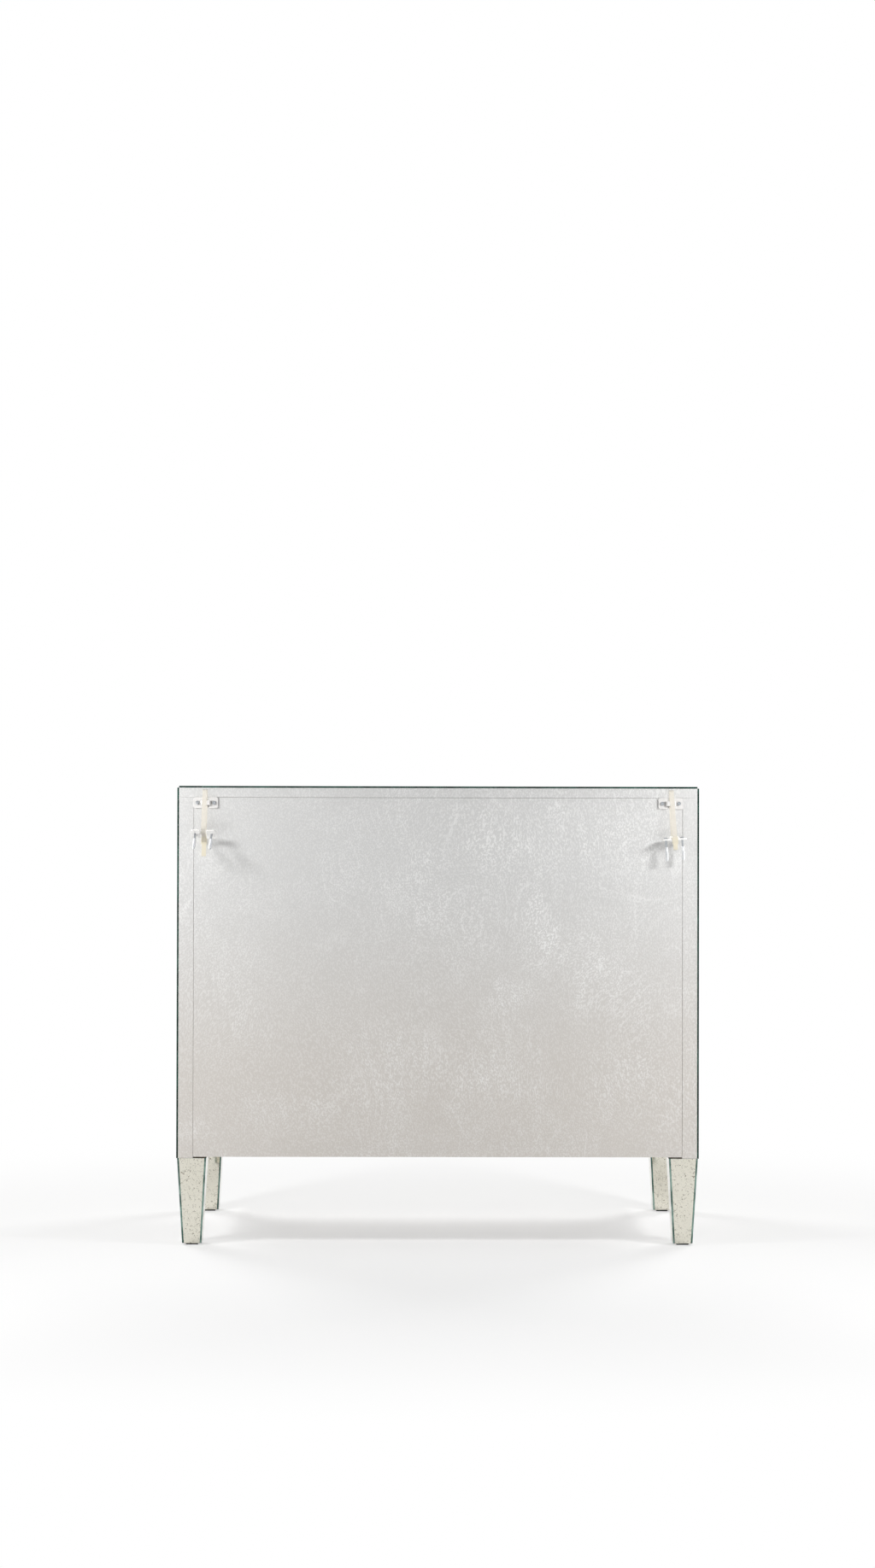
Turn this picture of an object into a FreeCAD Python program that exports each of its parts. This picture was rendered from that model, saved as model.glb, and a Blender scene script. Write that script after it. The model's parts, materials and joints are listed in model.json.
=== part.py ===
"""A mirrored storage cabinet, millimetres, +Z up, its front facing -Y.

Two drawers side by side over two inset doors, on four tapered legs, faced with
antiqued mirror on every side but the back. Two anti-tip kits hang on the back.
The origin is at the middle of the space it takes up, at floor level.
Left is -X and right is +X, as seen from the front.
"""
import FreeCAD, Part
import math
import os
from types import SimpleNamespace

import Sketcher
from FreeCAD import Placement, Rotation, Vector

SIZES = {
    # the whole cabinet
    "case_width": 908.0,          # over the side panels, without their mirrors
    "case_depth": 450.0,          # front mirrors' face to the back
    "overall_height": 804.0,
    "mirror_thick": 3.0,
    # wooden case
    "side_thick": 26.0,
    "top_thick": 17.0,
    "back_thick": 9.0,
    "floor_thick": 18.0,
    "floor_gap": 2.0,             # shadow gap between legs and floor panel
    "deck_thick": 18.0,
    "partition_thick": 18.0,
    "drawer_opening": 150.0,
    # shelf on two cleats
    "shelf_thick": 16.0,
    "shelf_play": 1.0,
    "shelf_setback": 30.0,
    "shelf_drop": 16.5,           # its underside below the cupboard's middle
    "cleat": 15.0,                # the cleats are square
    # legs
    "leg_height": 153.0,
    "leg_top": 51.0,
    "leg_bottom": 34.0,
    "leg_inset": 1.5,             # leg face behind the side mirror's face
    "leg_corner": 4.0,            # clipped lower corners of the leg mirrors
    "glide_wide": 24.0,
    "glide_foot": 20.0,
    "glide_high": 3.0,
    "tenon_thick": 8.0,
    "tenon_wide": 28.0,
    "tenon_up": 14.0,
    "tenon_down": 26.0,
    "tenon_play": 0.1,
    "tenon_end_gap": 1.0,
    # doors and drawer fronts
    "front_gap": 2.0,
    "door_side_gap": 2.2,
    "door_meeting_gap": 3.0,
    "front_mirror_thick": 5.0,
    "bevel_width": 18.0,
    "bevel_depth": 1.6,
    "front_board": 16.0,
    # glass knobs and their bolts
    "knob_reach": 28.0,
    "knob_half": 14.0,
    "knob_table": 8.0,
    "knob_girdle_low": 17.0,
    "knob_girdle_high": 20.0,
    "collar_base": 8.5,
    "collar_base_high": 2.5,
    "collar_neck": 4.5,
    "collar_top": 6.5,
    "collar_high": 9.0,
    "bolt_radius": 2.0,
    "bolt_end": 1.5,
    "nut_radius": 4.0,
    "nut_thick": 3.2,
    "thread_play": 0.05,
    "bolt_hole_play": 0.2,
    "knob_from_edge": 42.0,
    # loose-joint hinges
    "hinge_high": 60.0,
    "hinge_from_end": 55.0,
    "leaf_thick": 1.0,
    "leaf_deep": 24.0,
    "knuckle_radius": 3.5,
    "knuckle_play": 0.3,
    "hinge_bore": 1.6,
    "hinge_pin": 1.52,
    # magnetic catch
    "catch_half_width": 25.0,
    "catch_deep": 13.0,
    "catch_high": 14.0,
    "catch_play": 0.3,
    "catch_slope": 3.0,
    "strike_from_meeting": 5.0,
    "strike_wide": 18.0,
    "strike_high": 10.0,
    "strike_drop": 4.0,
    "strike_thick": 1.2,
    # drawer boxes
    "box_side": 12.0,
    "box_low": 10.0,              # box bottom edge above the deck
    "box_high": 110.0,
    "box_rear_gap": 20.0,         # behind the drawer boxes
    "bottom_thick": 6.0,
    "bottom_up": 8.0,
    "groove_deep": 5.0,
    # wooden runners in grooved drawer sides
    "box_gap": 2.0,
    "runner_wide": 8.0,
    "runner_high": 14.0,
    "runner_play": 0.4,
    "runner_up": 48.0,            # runner above the box's bottom edge
    "runner_start": 20.0,         # groove's closed end behind the drawer front
    # anti-tip kits: brackets
    "kit_from_side": 47.0,        # kit centre from the side panel's outer face
    "tie_offset": 0.8,            # ties hang a little outward of their brackets
    "bracket_drop": 9.5,          # bracket centre under the top panel
    "plate_wide": 43.0,
    "plate_high": 19.5,
    "plate_thick": 2.5,
    "plate_corner": 2.0,
    "bridge_wide": 18.0,
    "bridge_high": 8.0,
    "bridge_thick": 2.0,
    "tunnel_deep": 4.6,
    "tunnel_wide": 12.0,
    "screw_spacing": 28.5,
    "screw_radius": 1.6,
    "screw_long": 10.5,
    "wall_screw_radius": 1.8,
    "wall_screw_long": 35.0,
    "screw_head": 3.4,
    "screw_head_high": 2.6,
    "plug_radius": 3.0,
    "plug_long": 24.0,
    "plug_start": 12.0,           # plug mouth below the bracket
    "plug_play": 0.05,
    # anti-tip kits: ties
    "strap_wide": 7.6,
    "strap_thick": 1.4,
    "strap_play": 0.2,            # strap under the wall bracket's bridge
    "strap_behind": 2.3,          # strap centre behind the upper bridge
    "bend": 5.0,
    "loop_rise": 22.8,            # loop top above the bracket centre
    "loop_back": 11.5,
    "loop_front": 19.5,
    "front_out": 22.0,
    "front_rise": 10.0,
    "head_wide": 10.0,
    "head_deep": 7.0,
    "head_high": 10.8,
    "slot_play": 0.35,
    "seat_gap": 0.3,
    "left_head_out": 36.0,
    "left_head_drop": 64.6,
    "left_strand_drop": 60.0,
    "left_wall_out": 17.0,
    "left_tail": 80.0,
    "left_lean": 3.4,
    "left_tilt": 90.0,
    "right_head_drop": 67.4,
    "right_wall_out": 22.5,
    "right_wall_drop": 53.0,
    "right_knee": 12.7,
    "right_tail": 93.0,
    "right_lean": 1.5,
    "right_tilt": 135.0,
}

doc = FreeCAD.newDocument("mirrored_cabinet")


class Size:
    """A number together with its formula in the spreadsheets."""

    def __init__(self, value, formula):
        self.value = float(value)
        self.formula = formula

    def __add__(self, other):
        other = sized(other)
        return Size(self.value + other.value, f"({self.formula} + {other.formula})")

    def __sub__(self, other):
        other = sized(other)
        return Size(self.value - other.value, f"({self.formula} - {other.formula})")

    def __mul__(self, other):
        other = sized(other)
        return Size(self.value * other.value, f"({self.formula} * {other.formula})")

    def __truediv__(self, other):
        other = sized(other)
        return Size(self.value / other.value, f"({self.formula} / {other.formula})")

    def __radd__(self, other):
        return sized(other) + self

    def __rsub__(self, other):
        return sized(other) - self

    def __rmul__(self, other):
        return sized(other) * self

    def __neg__(self):
        return 0 - self


def sized(thing):
    """Turn a plain number into a Size."""
    if isinstance(thing, Size):
        return thing
    return Size(thing, f"({float(thing)})")


def sine(angle):
    return Size(math.sin(math.radians(angle.value)), f"sin({angle.formula})")


def cosine(angle):
    return Size(math.cos(math.radians(angle.value)), f"cos({angle.formula})")


def write_sizes():
    """Fill the sheet of driving sizes and hand them back by name."""
    sheet = doc.addObject("Spreadsheet::Sheet", "Sizes")
    names = {}
    for row, (name, value) in enumerate(SIZES.items(), 1):
        sheet.set(f"A{row}", name)
        sheet.set(f"B{row}", str(value))
        sheet.setAlias(f"B{row}", name)
        names[name] = Size(value, f"Sizes.{name}")
    return SimpleNamespace(**names)


s = write_sizes()
places = doc.addObject("Spreadsheet::Sheet", "Places")
p = SimpleNamespace()


def place(name, size):
    """Keep a worked-out place as a named formula in its own sheet."""
    row = len(vars(p)) + 1
    places.set(f"A{row}", name)
    places.set(f"B{row}", "=" + size.formula)
    places.setAlias(f"B{row}", name)
    doc.recompute()
    setattr(p, name, Size(size.value, f"Places.{name}"))


# ---------------------------------------------------------------- places
place("wall_outer", s.case_width / 2)
place("wall_inner", p.wall_outer - s.side_thick)
place("face_outer", p.wall_outer + s.mirror_thick)
place("wood_top", s.overall_height - s.mirror_thick)
place("under_top", p.wood_top - s.top_thick)
place("floor_low", s.leg_height + s.floor_gap)
place("floor_top", p.floor_low + s.floor_thick)
place("deck_top", p.under_top - s.drawer_opening)
place("deck_low", p.deck_top - s.deck_thick)
place("strap_lift", s.tunnel_deep - s.strap_play - s.strap_thick / 2)
place(
    "rear_reach",
    s.right_wall_out
    - (p.strap_lift + s.plug_start + s.plug_long) * cosine(s.right_tilt)
    + s.plug_radius * sine(s.right_tilt),
)
place("front", (s.knob_reach - s.case_depth - p.rear_reach) / 2)
place("back", p.front + s.case_depth)
place("wood_front", p.front + s.mirror_thick)
place("back_inner", p.back - s.back_thick)
place("board_front", p.front + s.front_mirror_thick)
place("board_back", p.board_front + s.front_board)
place("leg_face", p.face_outer - s.leg_inset)
place("leg_across", p.leg_face - s.leg_top / 2)
place("shelf_low", (p.floor_top + p.deck_low) / 2 - s.shelf_drop)
place("partition_side", s.partition_thick / 2)
place("hinge_x", p.wall_inner - s.door_side_gap / 2)
place("hinge_y", p.front - s.knuckle_radius - s.knuckle_play)
place("kit_across", p.wall_outer - s.kit_from_side)
place("bracket_z", p.under_top - s.bracket_drop)


# ---------------------------------------------------------------- tools
def bind(thing, **sizes):
    for prop, size in sizes.items():
        thing.setExpression(prop, sized(size).formula)


def put(thing, x, y, z):
    """Tie the base point of a placement to sizes."""
    for axis, size in zip("xyz", (x, y, z)):
        thing.setExpression(f"Placement.Base.{axis}", sized(size).formula)


def board(name, across, along, up):
    """A board between two planes in each direction."""
    thing = doc.addObject("Part::Box", name)
    lengths = [sized(high) - sized(low) for low, high in (across, along, up)]
    bind(thing, Length=lengths[0], Width=lengths[1], Height=lengths[2])
    put(thing, across[0], along[0], up[0])
    return thing


TURNS = {
    "+x": Rotation(Vector(0, 1, 0), 90),
    "-x": Rotation(Vector(0, 1, 0), -90),
    "+y": Rotation(Vector(1, 0, 0), -90),
    "-y": Rotation(Vector(1, 0, 0), 90),
    "+z": Rotation(),
}


def rod(name, radius, start, length, way="+z"):
    """A round bar from start, running the way it is told."""
    thing = doc.addObject("Part::Cylinder", name)
    thing.Placement = Placement(Vector(), TURNS[way])
    bind(thing, Radius=radius, Height=length)
    put(thing, *start)
    return thing


def wedge(name, levels, spans, upright=True, turn=0):
    """A block with flat sides, straight from one rectangle to another.

    spans gives each end's reach across, then along (or up, when the block lies
    along Y); turn rotates an upright block about Z.
    """
    thing = doc.addObject("Part::Wedge", name)
    ends = [[tuple(sized(edge) for edge in reach) for reach in span] for span in spans]
    if upright:
        stand = Rotation(Vector(0, 0, 1), turn) * Rotation(Vector(1, 0, 0), 90)
        thing.Placement = Placement(Vector(), stand)
        ends = [[across, (-along[1], -along[0])] for across, along in ends]
    (across, along), (far_across, far_along) = ends
    bind(thing, Xmin=across[0], Xmax=across[1], Zmin=along[0], Zmax=along[1])
    bind(thing, X2min=far_across[0], X2max=far_across[1])
    bind(thing, Z2min=far_along[0], Z2max=far_along[1])
    bind(thing, Ymin=levels[0], Ymax=levels[1])
    return thing


def group(name, things):
    thing = doc.addObject("Part::Compound", name)
    thing.Links = things
    return thing


def fuse(name, things):
    thing = doc.addObject("Part::MultiFuse", name)
    thing.Shapes = things
    thing.Refine = True
    return thing


def cut(name, base, tools):
    thing = doc.addObject("Part::Cut", name)
    thing.Base = base
    thing.Tool = tools[0] if len(tools) == 1 else group(name + "_tools", tools)
    return thing


def twin(name, source):
    """The same piece on the other side of the cabinet's middle plane."""
    thing = doc.addObject("Part::Mirroring", name)
    thing.Source = source
    thing.Normal = Vector(1, 0, 0)
    return thing


def pin_down(sketch, geometry, end, point):
    """Tie one end of a curve, or its centre, to a point."""
    for kind, size in zip(("DistanceX", "DistanceY"), point):
        number = sketch.addConstraint(
            Sketcher.Constraint(kind, -1, 1, geometry, end, size.value)
        )
        sketch.setExpression(f"Constraints[{number}]", size.formula)


def trace(sketch, corners):
    """Draw a closed outline of straight runs."""
    corners = [tuple(sized(part) for part in corner) for corner in corners]
    for corner, following in zip(corners, corners[1:] + corners[:1]):
        first = Vector(corner[0].value, corner[1].value, 0)
        last = Vector(following[0].value, following[1].value, 0)
        line = sketch.addGeometry(Part.LineSegment(first, last))
        pin_down(sketch, line, 1, corner)
        pin_down(sketch, line, 2, following)


def outline(body, name, plane, lift, corners, rings=()):
    """A sketch on one of the body's own planes, lifted along its normal."""
    sketch = body.newObject("Sketcher::SketchObject", name)
    support = [f for f in body.Origin.OriginFeatures if f.Role == plane + "_Plane"][0]
    sketch.AttachmentSupport = (support, "")
    sketch.MapMode = "FlatFace"
    sketch.setExpression("AttachmentOffset.Base.z", sized(lift).formula)
    trace(sketch, corners)
    for across, up, radius in rings:
        centre = (sized(across), sized(up))
        circle = Part.Circle(
            Vector(centre[0].value, centre[1].value, 0), Vector(0, 0, 1), sized(radius).value
        )
        ring = sketch.addGeometry(circle)
        pin_down(sketch, ring, 3, centre)
        number = sketch.addConstraint(
            Sketcher.Constraint("Radius", ring, sized(radius).value)
        )
        sketch.setExpression(f"Constraints[{number}]", sized(radius).formula)
    return sketch


def pad(name, plane, span, corners, rings=()):
    """A body drawn on a plane and thickened between two levels."""
    low, high = sized(span[0]), sized(span[1])
    body = doc.addObject("PartDesign::Body", name)
    towards_back = plane == "XZ"
    lift = -low if towards_back else low
    sketch = outline(body, name + "_outline", plane, lift, corners, rings)
    feature = body.newObject("PartDesign::Pad", name + "_pad")
    feature.Profile = sketch
    feature.Reversed = towards_back
    bind(feature, Length=high - low)
    return body


def rectangle(across, up):
    (x0, x1), (z0, z1) = across, up
    return [(x0, z0), (x1, z0), (x1, z1), (x0, z1)]


def square(half):
    return (-half, half), (-half, half)


nodes = {}


def keep(label, thing):
    """Register a finished piece under its node name."""
    nodes[label] = thing
    return thing


# ---------------------------------------------------------------- wooden case
def leg_places():
    """Name, side and centre of each leg."""
    for side, across in (("left", -p.leg_across), ("right", p.leg_across)):
        yield "front_" + side, across, p.front + s.leg_top / 2
        yield "back_" + side, across, p.back - s.leg_top / 2


def tenon_block(name, across, along, up, play=0):
    """The room of a leg's loose tenon, which stands in the middle of the side panel."""
    sign = 1 if across.value > 0 else -1
    middle = sign * (p.wall_inner + p.wall_outer) / 2
    thin, wide = s.tenon_thick / 2 + play, s.tenon_wide / 2 + play
    return board(name, (middle - thin, middle + thin), (along - wide, along + wide), up)


def wooden_case():
    behind_front = (p.wood_front, p.back)
    width = (-p.wall_outer, p.wall_outer)
    inside = (-p.wall_inner, p.wall_inner)
    keep("top_panel", board("top_board", width, behind_front, (p.under_top, p.wood_top)))

    side = board("side_board", (p.wall_inner, p.wall_outer), behind_front, (s.leg_height, p.under_top))
    mortise_up = (s.leg_height, s.leg_height + s.tenon_up + s.tenon_end_gap)
    mortises = [
        tenon_block("side_mortise_" + name, across, along, mortise_up, s.tenon_play)
        for name, across, along in leg_places()
        if across.value > 0
    ]
    mortised = cut("side_mortised", side, mortises)
    keep("side_panel_right", mortised)
    keep("side_panel_left", twin("side_mirrored", mortised))

    between = (p.wood_front, p.back_inner)
    keep("bottom_panel", board("floor_board", inside, between, (p.floor_low, p.floor_top)))
    back = board("back_board", inside, (p.back_inner, p.back), (p.floor_low, p.under_top))
    pilots = []
    for across in (-p.kit_across, p.kit_across):
        for side in (-1, 1):
            start = (across + side * s.screw_spacing / 2, p.back_inner, p.bracket_z)
            name = f"pilot_{len(pilots)}"
            radius = s.screw_radius + s.thread_play
            pilots.append(rod(name, radius, start, s.back_thick, "+y"))
    keep("back_panel", cut("back_drilled", back, pilots))
    keep("drawer_deck", board("deck_board", inside, between, (p.deck_low, p.deck_top)))
    middle = (-p.partition_side, p.partition_side)
    keep("drawer_partition", board("middle_board", middle, between, (p.deck_top, p.under_top)))


def shelf():
    half = p.wall_inner - s.shelf_play
    along = (p.front + s.shelf_setback, p.back_inner - s.shelf_play)
    up = (p.shelf_low, p.shelf_low + s.shelf_thick)
    keep("cupboard_shelf", board("shelf_board", (-half, half), along, up))
    across = (p.wall_inner - s.cleat, p.wall_inner)
    cleat = board("cleat_strip", across, along, (p.shelf_low - s.cleat, p.shelf_low))
    keep("shelf_cleats", group("cleat_set", [cleat, twin("cleat_mirrored", cleat)]))


def fixed_mirrors():
    """Sheets on the top and sides, and strips on the front edges."""
    whole_depth = (p.front, p.back)
    face = (p.front, p.wood_front)
    width = (-p.wall_outer, p.wall_outer)
    keep("mirror_top", board("top_sheet", width, whole_depth, (p.wood_top, s.overall_height)))
    sheet = board(
        "side_sheet", (p.wall_outer, p.face_outer), whole_depth, (s.leg_height, p.wood_top)
    )
    keep("mirror_side_right", sheet)
    keep("mirror_side_left", twin("side_sheet_mirrored", sheet))
    stile = board("stile_strip", (p.wall_inner, p.wall_outer), face, (s.leg_height, p.under_top))
    keep("mirror_stiles", group("stile_set", [stile, twin("stile_mirrored", stile)]))
    inside = (-p.wall_inner, p.wall_inner)
    middle = (-p.partition_side, p.partition_side)
    rails = [
        board("top_strip", width, face, (p.under_top, p.wood_top)),
        board("deck_strip", inside, face, (p.deck_low, p.deck_top)),
        board("floor_strip", inside, face, (p.floor_low, p.floor_top)),
        board("middle_strip", middle, face, (p.deck_top, p.under_top)),
    ]
    keep("mirror_rails", group("rail_set", rails))


# ---------------------------------------------------------------- legs
def leg_size(level):
    """Width of a leg over its mirrors, at a level above the floor."""
    share = (level - s.glide_high) / (s.leg_height - s.glide_high)
    return s.leg_bottom + (s.leg_top - s.leg_bottom) * share


def shifted(centre, spans):
    """Spans about the origin, moved to a centre."""
    return [(middle + low, middle + high) for middle, (low, high) in zip(centre, spans)]


def leg_strip(name, centre, side, full):
    """One mirror of a leg, its lower corners clipped; full ones are as wide as the leg."""
    clip_top = s.glide_high + s.leg_corner
    runs = (
        ((s.glide_high, s.leg_corner), (clip_top, 0)),
        ((clip_top, 0), (s.leg_height, 0)),
    )
    blocks = []
    for run in runs:
        spans = []
        for level, clip in run:
            outer = leg_size(level) / 2
            core = outer - s.mirror_thick
            thickness = sorted((side * core, side * outer), key=lambda end: end.value)
            half = (outer if full else core) - clip
            wide = (-half, half)
            spans.append(shifted(centre, (thickness, wide) if full else (wide, thickness)))
        levels = (run[0][0], run[1][0])
        blocks.append(wedge(f"{name}_block_{len(blocks)}", levels, spans))
    return fuse(name, blocks)


def legs():
    cores, glides, mortises, tenons = [], [], [], []
    mortise_up = (s.leg_height - s.tenon_down - s.tenon_end_gap, s.leg_height)
    tenon_up = (s.leg_height - s.tenon_down, s.leg_height + s.tenon_up)
    for name, across, along in leg_places():
        centre = (across, along)
        strips = []
        for side in (-1, 1):
            for full in (True, False):
                title = f"strip_{name}_{len(strips)}"
                strips.append(leg_strip(title, centre, side, full))
        keep("leg_mirrors_" + name, group("strips_" + name, strips))
        thin, thick = s.leg_bottom / 2 - s.mirror_thick, s.leg_top / 2 - s.mirror_thick
        spans = (shifted(centre, square(thin)), shifted(centre, square(thick)))
        cores.append(wedge("core_" + name, (s.glide_high, s.leg_height), spans))
        spans = (
            shifted(centre, square(s.glide_foot / 2)),
            shifted(centre, square(s.glide_wide / 2)),
        )
        glides.append(wedge("glide_" + name, (0, s.glide_high), spans))
        mortises.append(tenon_block("leg_mortise_" + name, across, along, mortise_up, s.tenon_play))
        tenons.append(tenon_block("tenon_" + name, across, along, tenon_up))
    keep("leg_cores", cut("cores_mortised", group("core_set", cores), mortises))
    keep("leg_glides", group("glide_set", glides))
    keep("leg_tenons", group("tenon_set", tenons))


# ---------------------------------------------------------------- doors and drawers
def bevelled_mirror(name, across, up, hole):
    """A mirror with a broad bevel round its face and a hole for the knob's bolt."""
    inset = s.bevel_width
    flat = [(low + inset, high - inset) for low, high in (across, up)]
    bevel_start = p.front + s.bevel_depth
    bevel = wedge(name + "_bevel", (p.front, bevel_start), (flat, (across, up)), upright=False)
    sheet = board(name + "_sheet", across, (bevel_start, p.board_front), up)
    start = (hole[0], p.front, hole[1])
    radius = s.bolt_radius + s.bolt_hole_play
    drill = rod(name + "_hole", radius, start, s.front_mirror_thick, "+y")
    return cut(name, fuse(name + "_whole", [bevel, sheet]), [drill])


def front_board(name, across, up, hole):
    radius = s.bolt_radius + s.bolt_hole_play
    ring = (hole[0], hole[1], radius)
    return pad(name, "XZ", (p.board_front, p.board_back), rectangle(across, up), [ring])


def eight_sided(name, levels):
    """A solid with eight flat sides through (level, half width) pairs: two square cuts crossed."""
    crossed = []
    for turn in (0, 45):
        blocks = []
        for (low, half), (high, half_above) in zip(levels, levels[1:]):
            title = f"{name}_{turn}_{len(blocks)}"
            spans = (square(sized(half)), square(sized(half_above)))
            blocks.append(wedge(title, (low, high), spans, turn=turn))
        crossed.append(fuse(f"{name}_cut_{turn}", blocks))
    thing = doc.addObject("Part::MultiCommon", name)
    thing.Shapes = crossed
    return thing


def knob(name, centre, grip):
    """A faceted glass knob on a metal collar, whose bolt is held by a nut behind."""
    glass = eight_sided(
        name + "_glass",
        [
            (s.collar_high, s.collar_top),
            (s.knob_girdle_low, s.knob_half),
            (s.knob_girdle_high, s.knob_half),
            (s.knob_reach, s.knob_table),
        ],
    )
    collar = eight_sided(
        name + "_collar",
        [
            (0, s.collar_base),
            (s.collar_base_high, s.collar_base),
            (s.collar_base_high + s.collar_base_high, s.collar_neck),
            (s.collar_high, s.collar_top),
        ],
    )
    nut_back = grip + s.nut_thick
    length = nut_back + s.bolt_end
    bolt = rod(name + "_bolt", s.bolt_radius, (0, 0, -length), length)
    stem = fuse(name + "_stem", [collar, bolt])
    flats = doc.addObject("Part::Prism", name + "_flats")
    flats.Polygon = 6
    bind(flats, Circumradius=s.nut_radius, Height=s.nut_thick)
    put(flats, 0, 0, -nut_back)
    bore = rod(name + "_bore", s.bolt_radius + s.thread_play, (0, 0, -nut_back), s.nut_thick)
    nut = cut(name + "_nut", flats, [bore])
    placed = []
    for title, pieces in (("head", [glass]), ("fixing", [stem, nut])):
        part = group(f"{name}_{title}", pieces)
        part.Placement = Placement(Vector(), TURNS["-y"])
        put(part, centre[0], p.front, centre[1])
        placed.append(part)
    return placed


def hinge_levels():
    """Low end of each hinge of a door."""
    yield "low", p.floor_top + s.hinge_from_end
    yield "high", p.deck_low - s.hinge_from_end - s.hinge_high


def hinge_leaf(name, low, on_door):
    """A leaf in the gap beside the right door, with its one knuckle round the pin."""
    clear = p.hinge_y + s.knuckle_radius + s.knuckle_play
    far = p.hinge_y + s.leaf_deep
    top = low + s.hinge_high
    if on_door:
        edge = (p.wall_inner - s.door_side_gap, p.wall_inner - s.door_side_gap + s.leaf_thick)
        joint = low + (s.hinge_high + s.knuckle_play) / 2
        inner, outer = clear, p.hinge_y
        knuckle = (joint, top)
    else:
        edge = (p.wall_inner - s.leaf_thick, p.wall_inner)
        joint = low + (s.hinge_high - s.knuckle_play) / 2
        inner, outer = p.hinge_y, clear
        knuckle = (low, joint)
    corners = [(inner, low), (far, low), (far, top), (outer, top), (outer, joint), (inner, joint)]
    leaf = pad(name + "_leaf", "YZ", edge, corners)
    start = (p.hinge_x, p.hinge_y, knuckle[0])
    barrel = rod(name + "_knuckle", s.knuckle_radius, start, knuckle[1] - knuckle[0])
    bore = rod(name + "_bore", s.hinge_bore, (p.hinge_x, p.hinge_y, low), s.hinge_high)
    return cut(name, fuse(name + "_whole", [leaf, barrel]), [bore])


def doors():
    across = (s.door_meeting_gap / 2, p.wall_inner - s.door_side_gap)
    up = (p.floor_top + s.front_gap, p.deck_low - s.front_gap)
    hole = (across[0] + s.knob_from_edge, (up[0] + up[1]) / 2)
    grip = s.front_mirror_thick + s.front_board
    strike_x = across[0] + s.strike_from_meeting
    strike_top = up[1] - s.strike_drop
    strike = board(
        "strike",
        (strike_x, strike_x + s.strike_wide),
        (p.board_back, p.board_back + s.strike_thick),
        (strike_top - s.strike_high, strike_top),
    )
    leaves = [hinge_leaf("door_leaf_" + end, low, True) for end, low in hinge_levels()]
    glass_knob, fixing = knob("door_knob", hole, grip)
    pieces = {
        "panel": front_board("door_board", across, up, hole),
        "mirror": bevelled_mirror("door_sheet", across, up, hole),
        "knob": glass_knob,
        "knob_bolt": fixing,
        "hinge_leaves": group("door_leaves", leaves),
        "strike": strike,
    }
    for title, piece in pieces.items():
        keep("door_right_" + title, piece)
        keep("door_left_" + title, twin(piece.Name + "_mirrored", piece))


def case_hardware():
    leaves, pins = [], []
    for end, low in hinge_levels():
        leaf = hinge_leaf("case_leaf_" + end, low, False)
        leaves += [leaf, twin("case_leaf_mirrored_" + end, leaf)]
        start = (p.hinge_x, p.hinge_y, low)
        pin = rod("hinge_pin_" + end, s.hinge_pin, start, s.hinge_high)
        pins += [pin, twin("hinge_pin_mirrored_" + end, pin)]
    keep("hinge_case_leaves", group("case_leaves", leaves))
    keep("hinge_pins", group("pins", pins))
    face = p.board_back + s.strike_thick + s.catch_play
    low = p.deck_low - s.catch_high
    corners = [
        (face, low),
        (face + s.catch_deep - s.catch_slope, low),
        (face + s.catch_deep, low + s.catch_slope),
        (face + s.catch_deep, p.deck_low),
        (face, p.deck_low),
    ]
    keep("door_catch", pad("catch", "YZ", (-s.catch_half_width, s.catch_half_width), corners))


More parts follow.
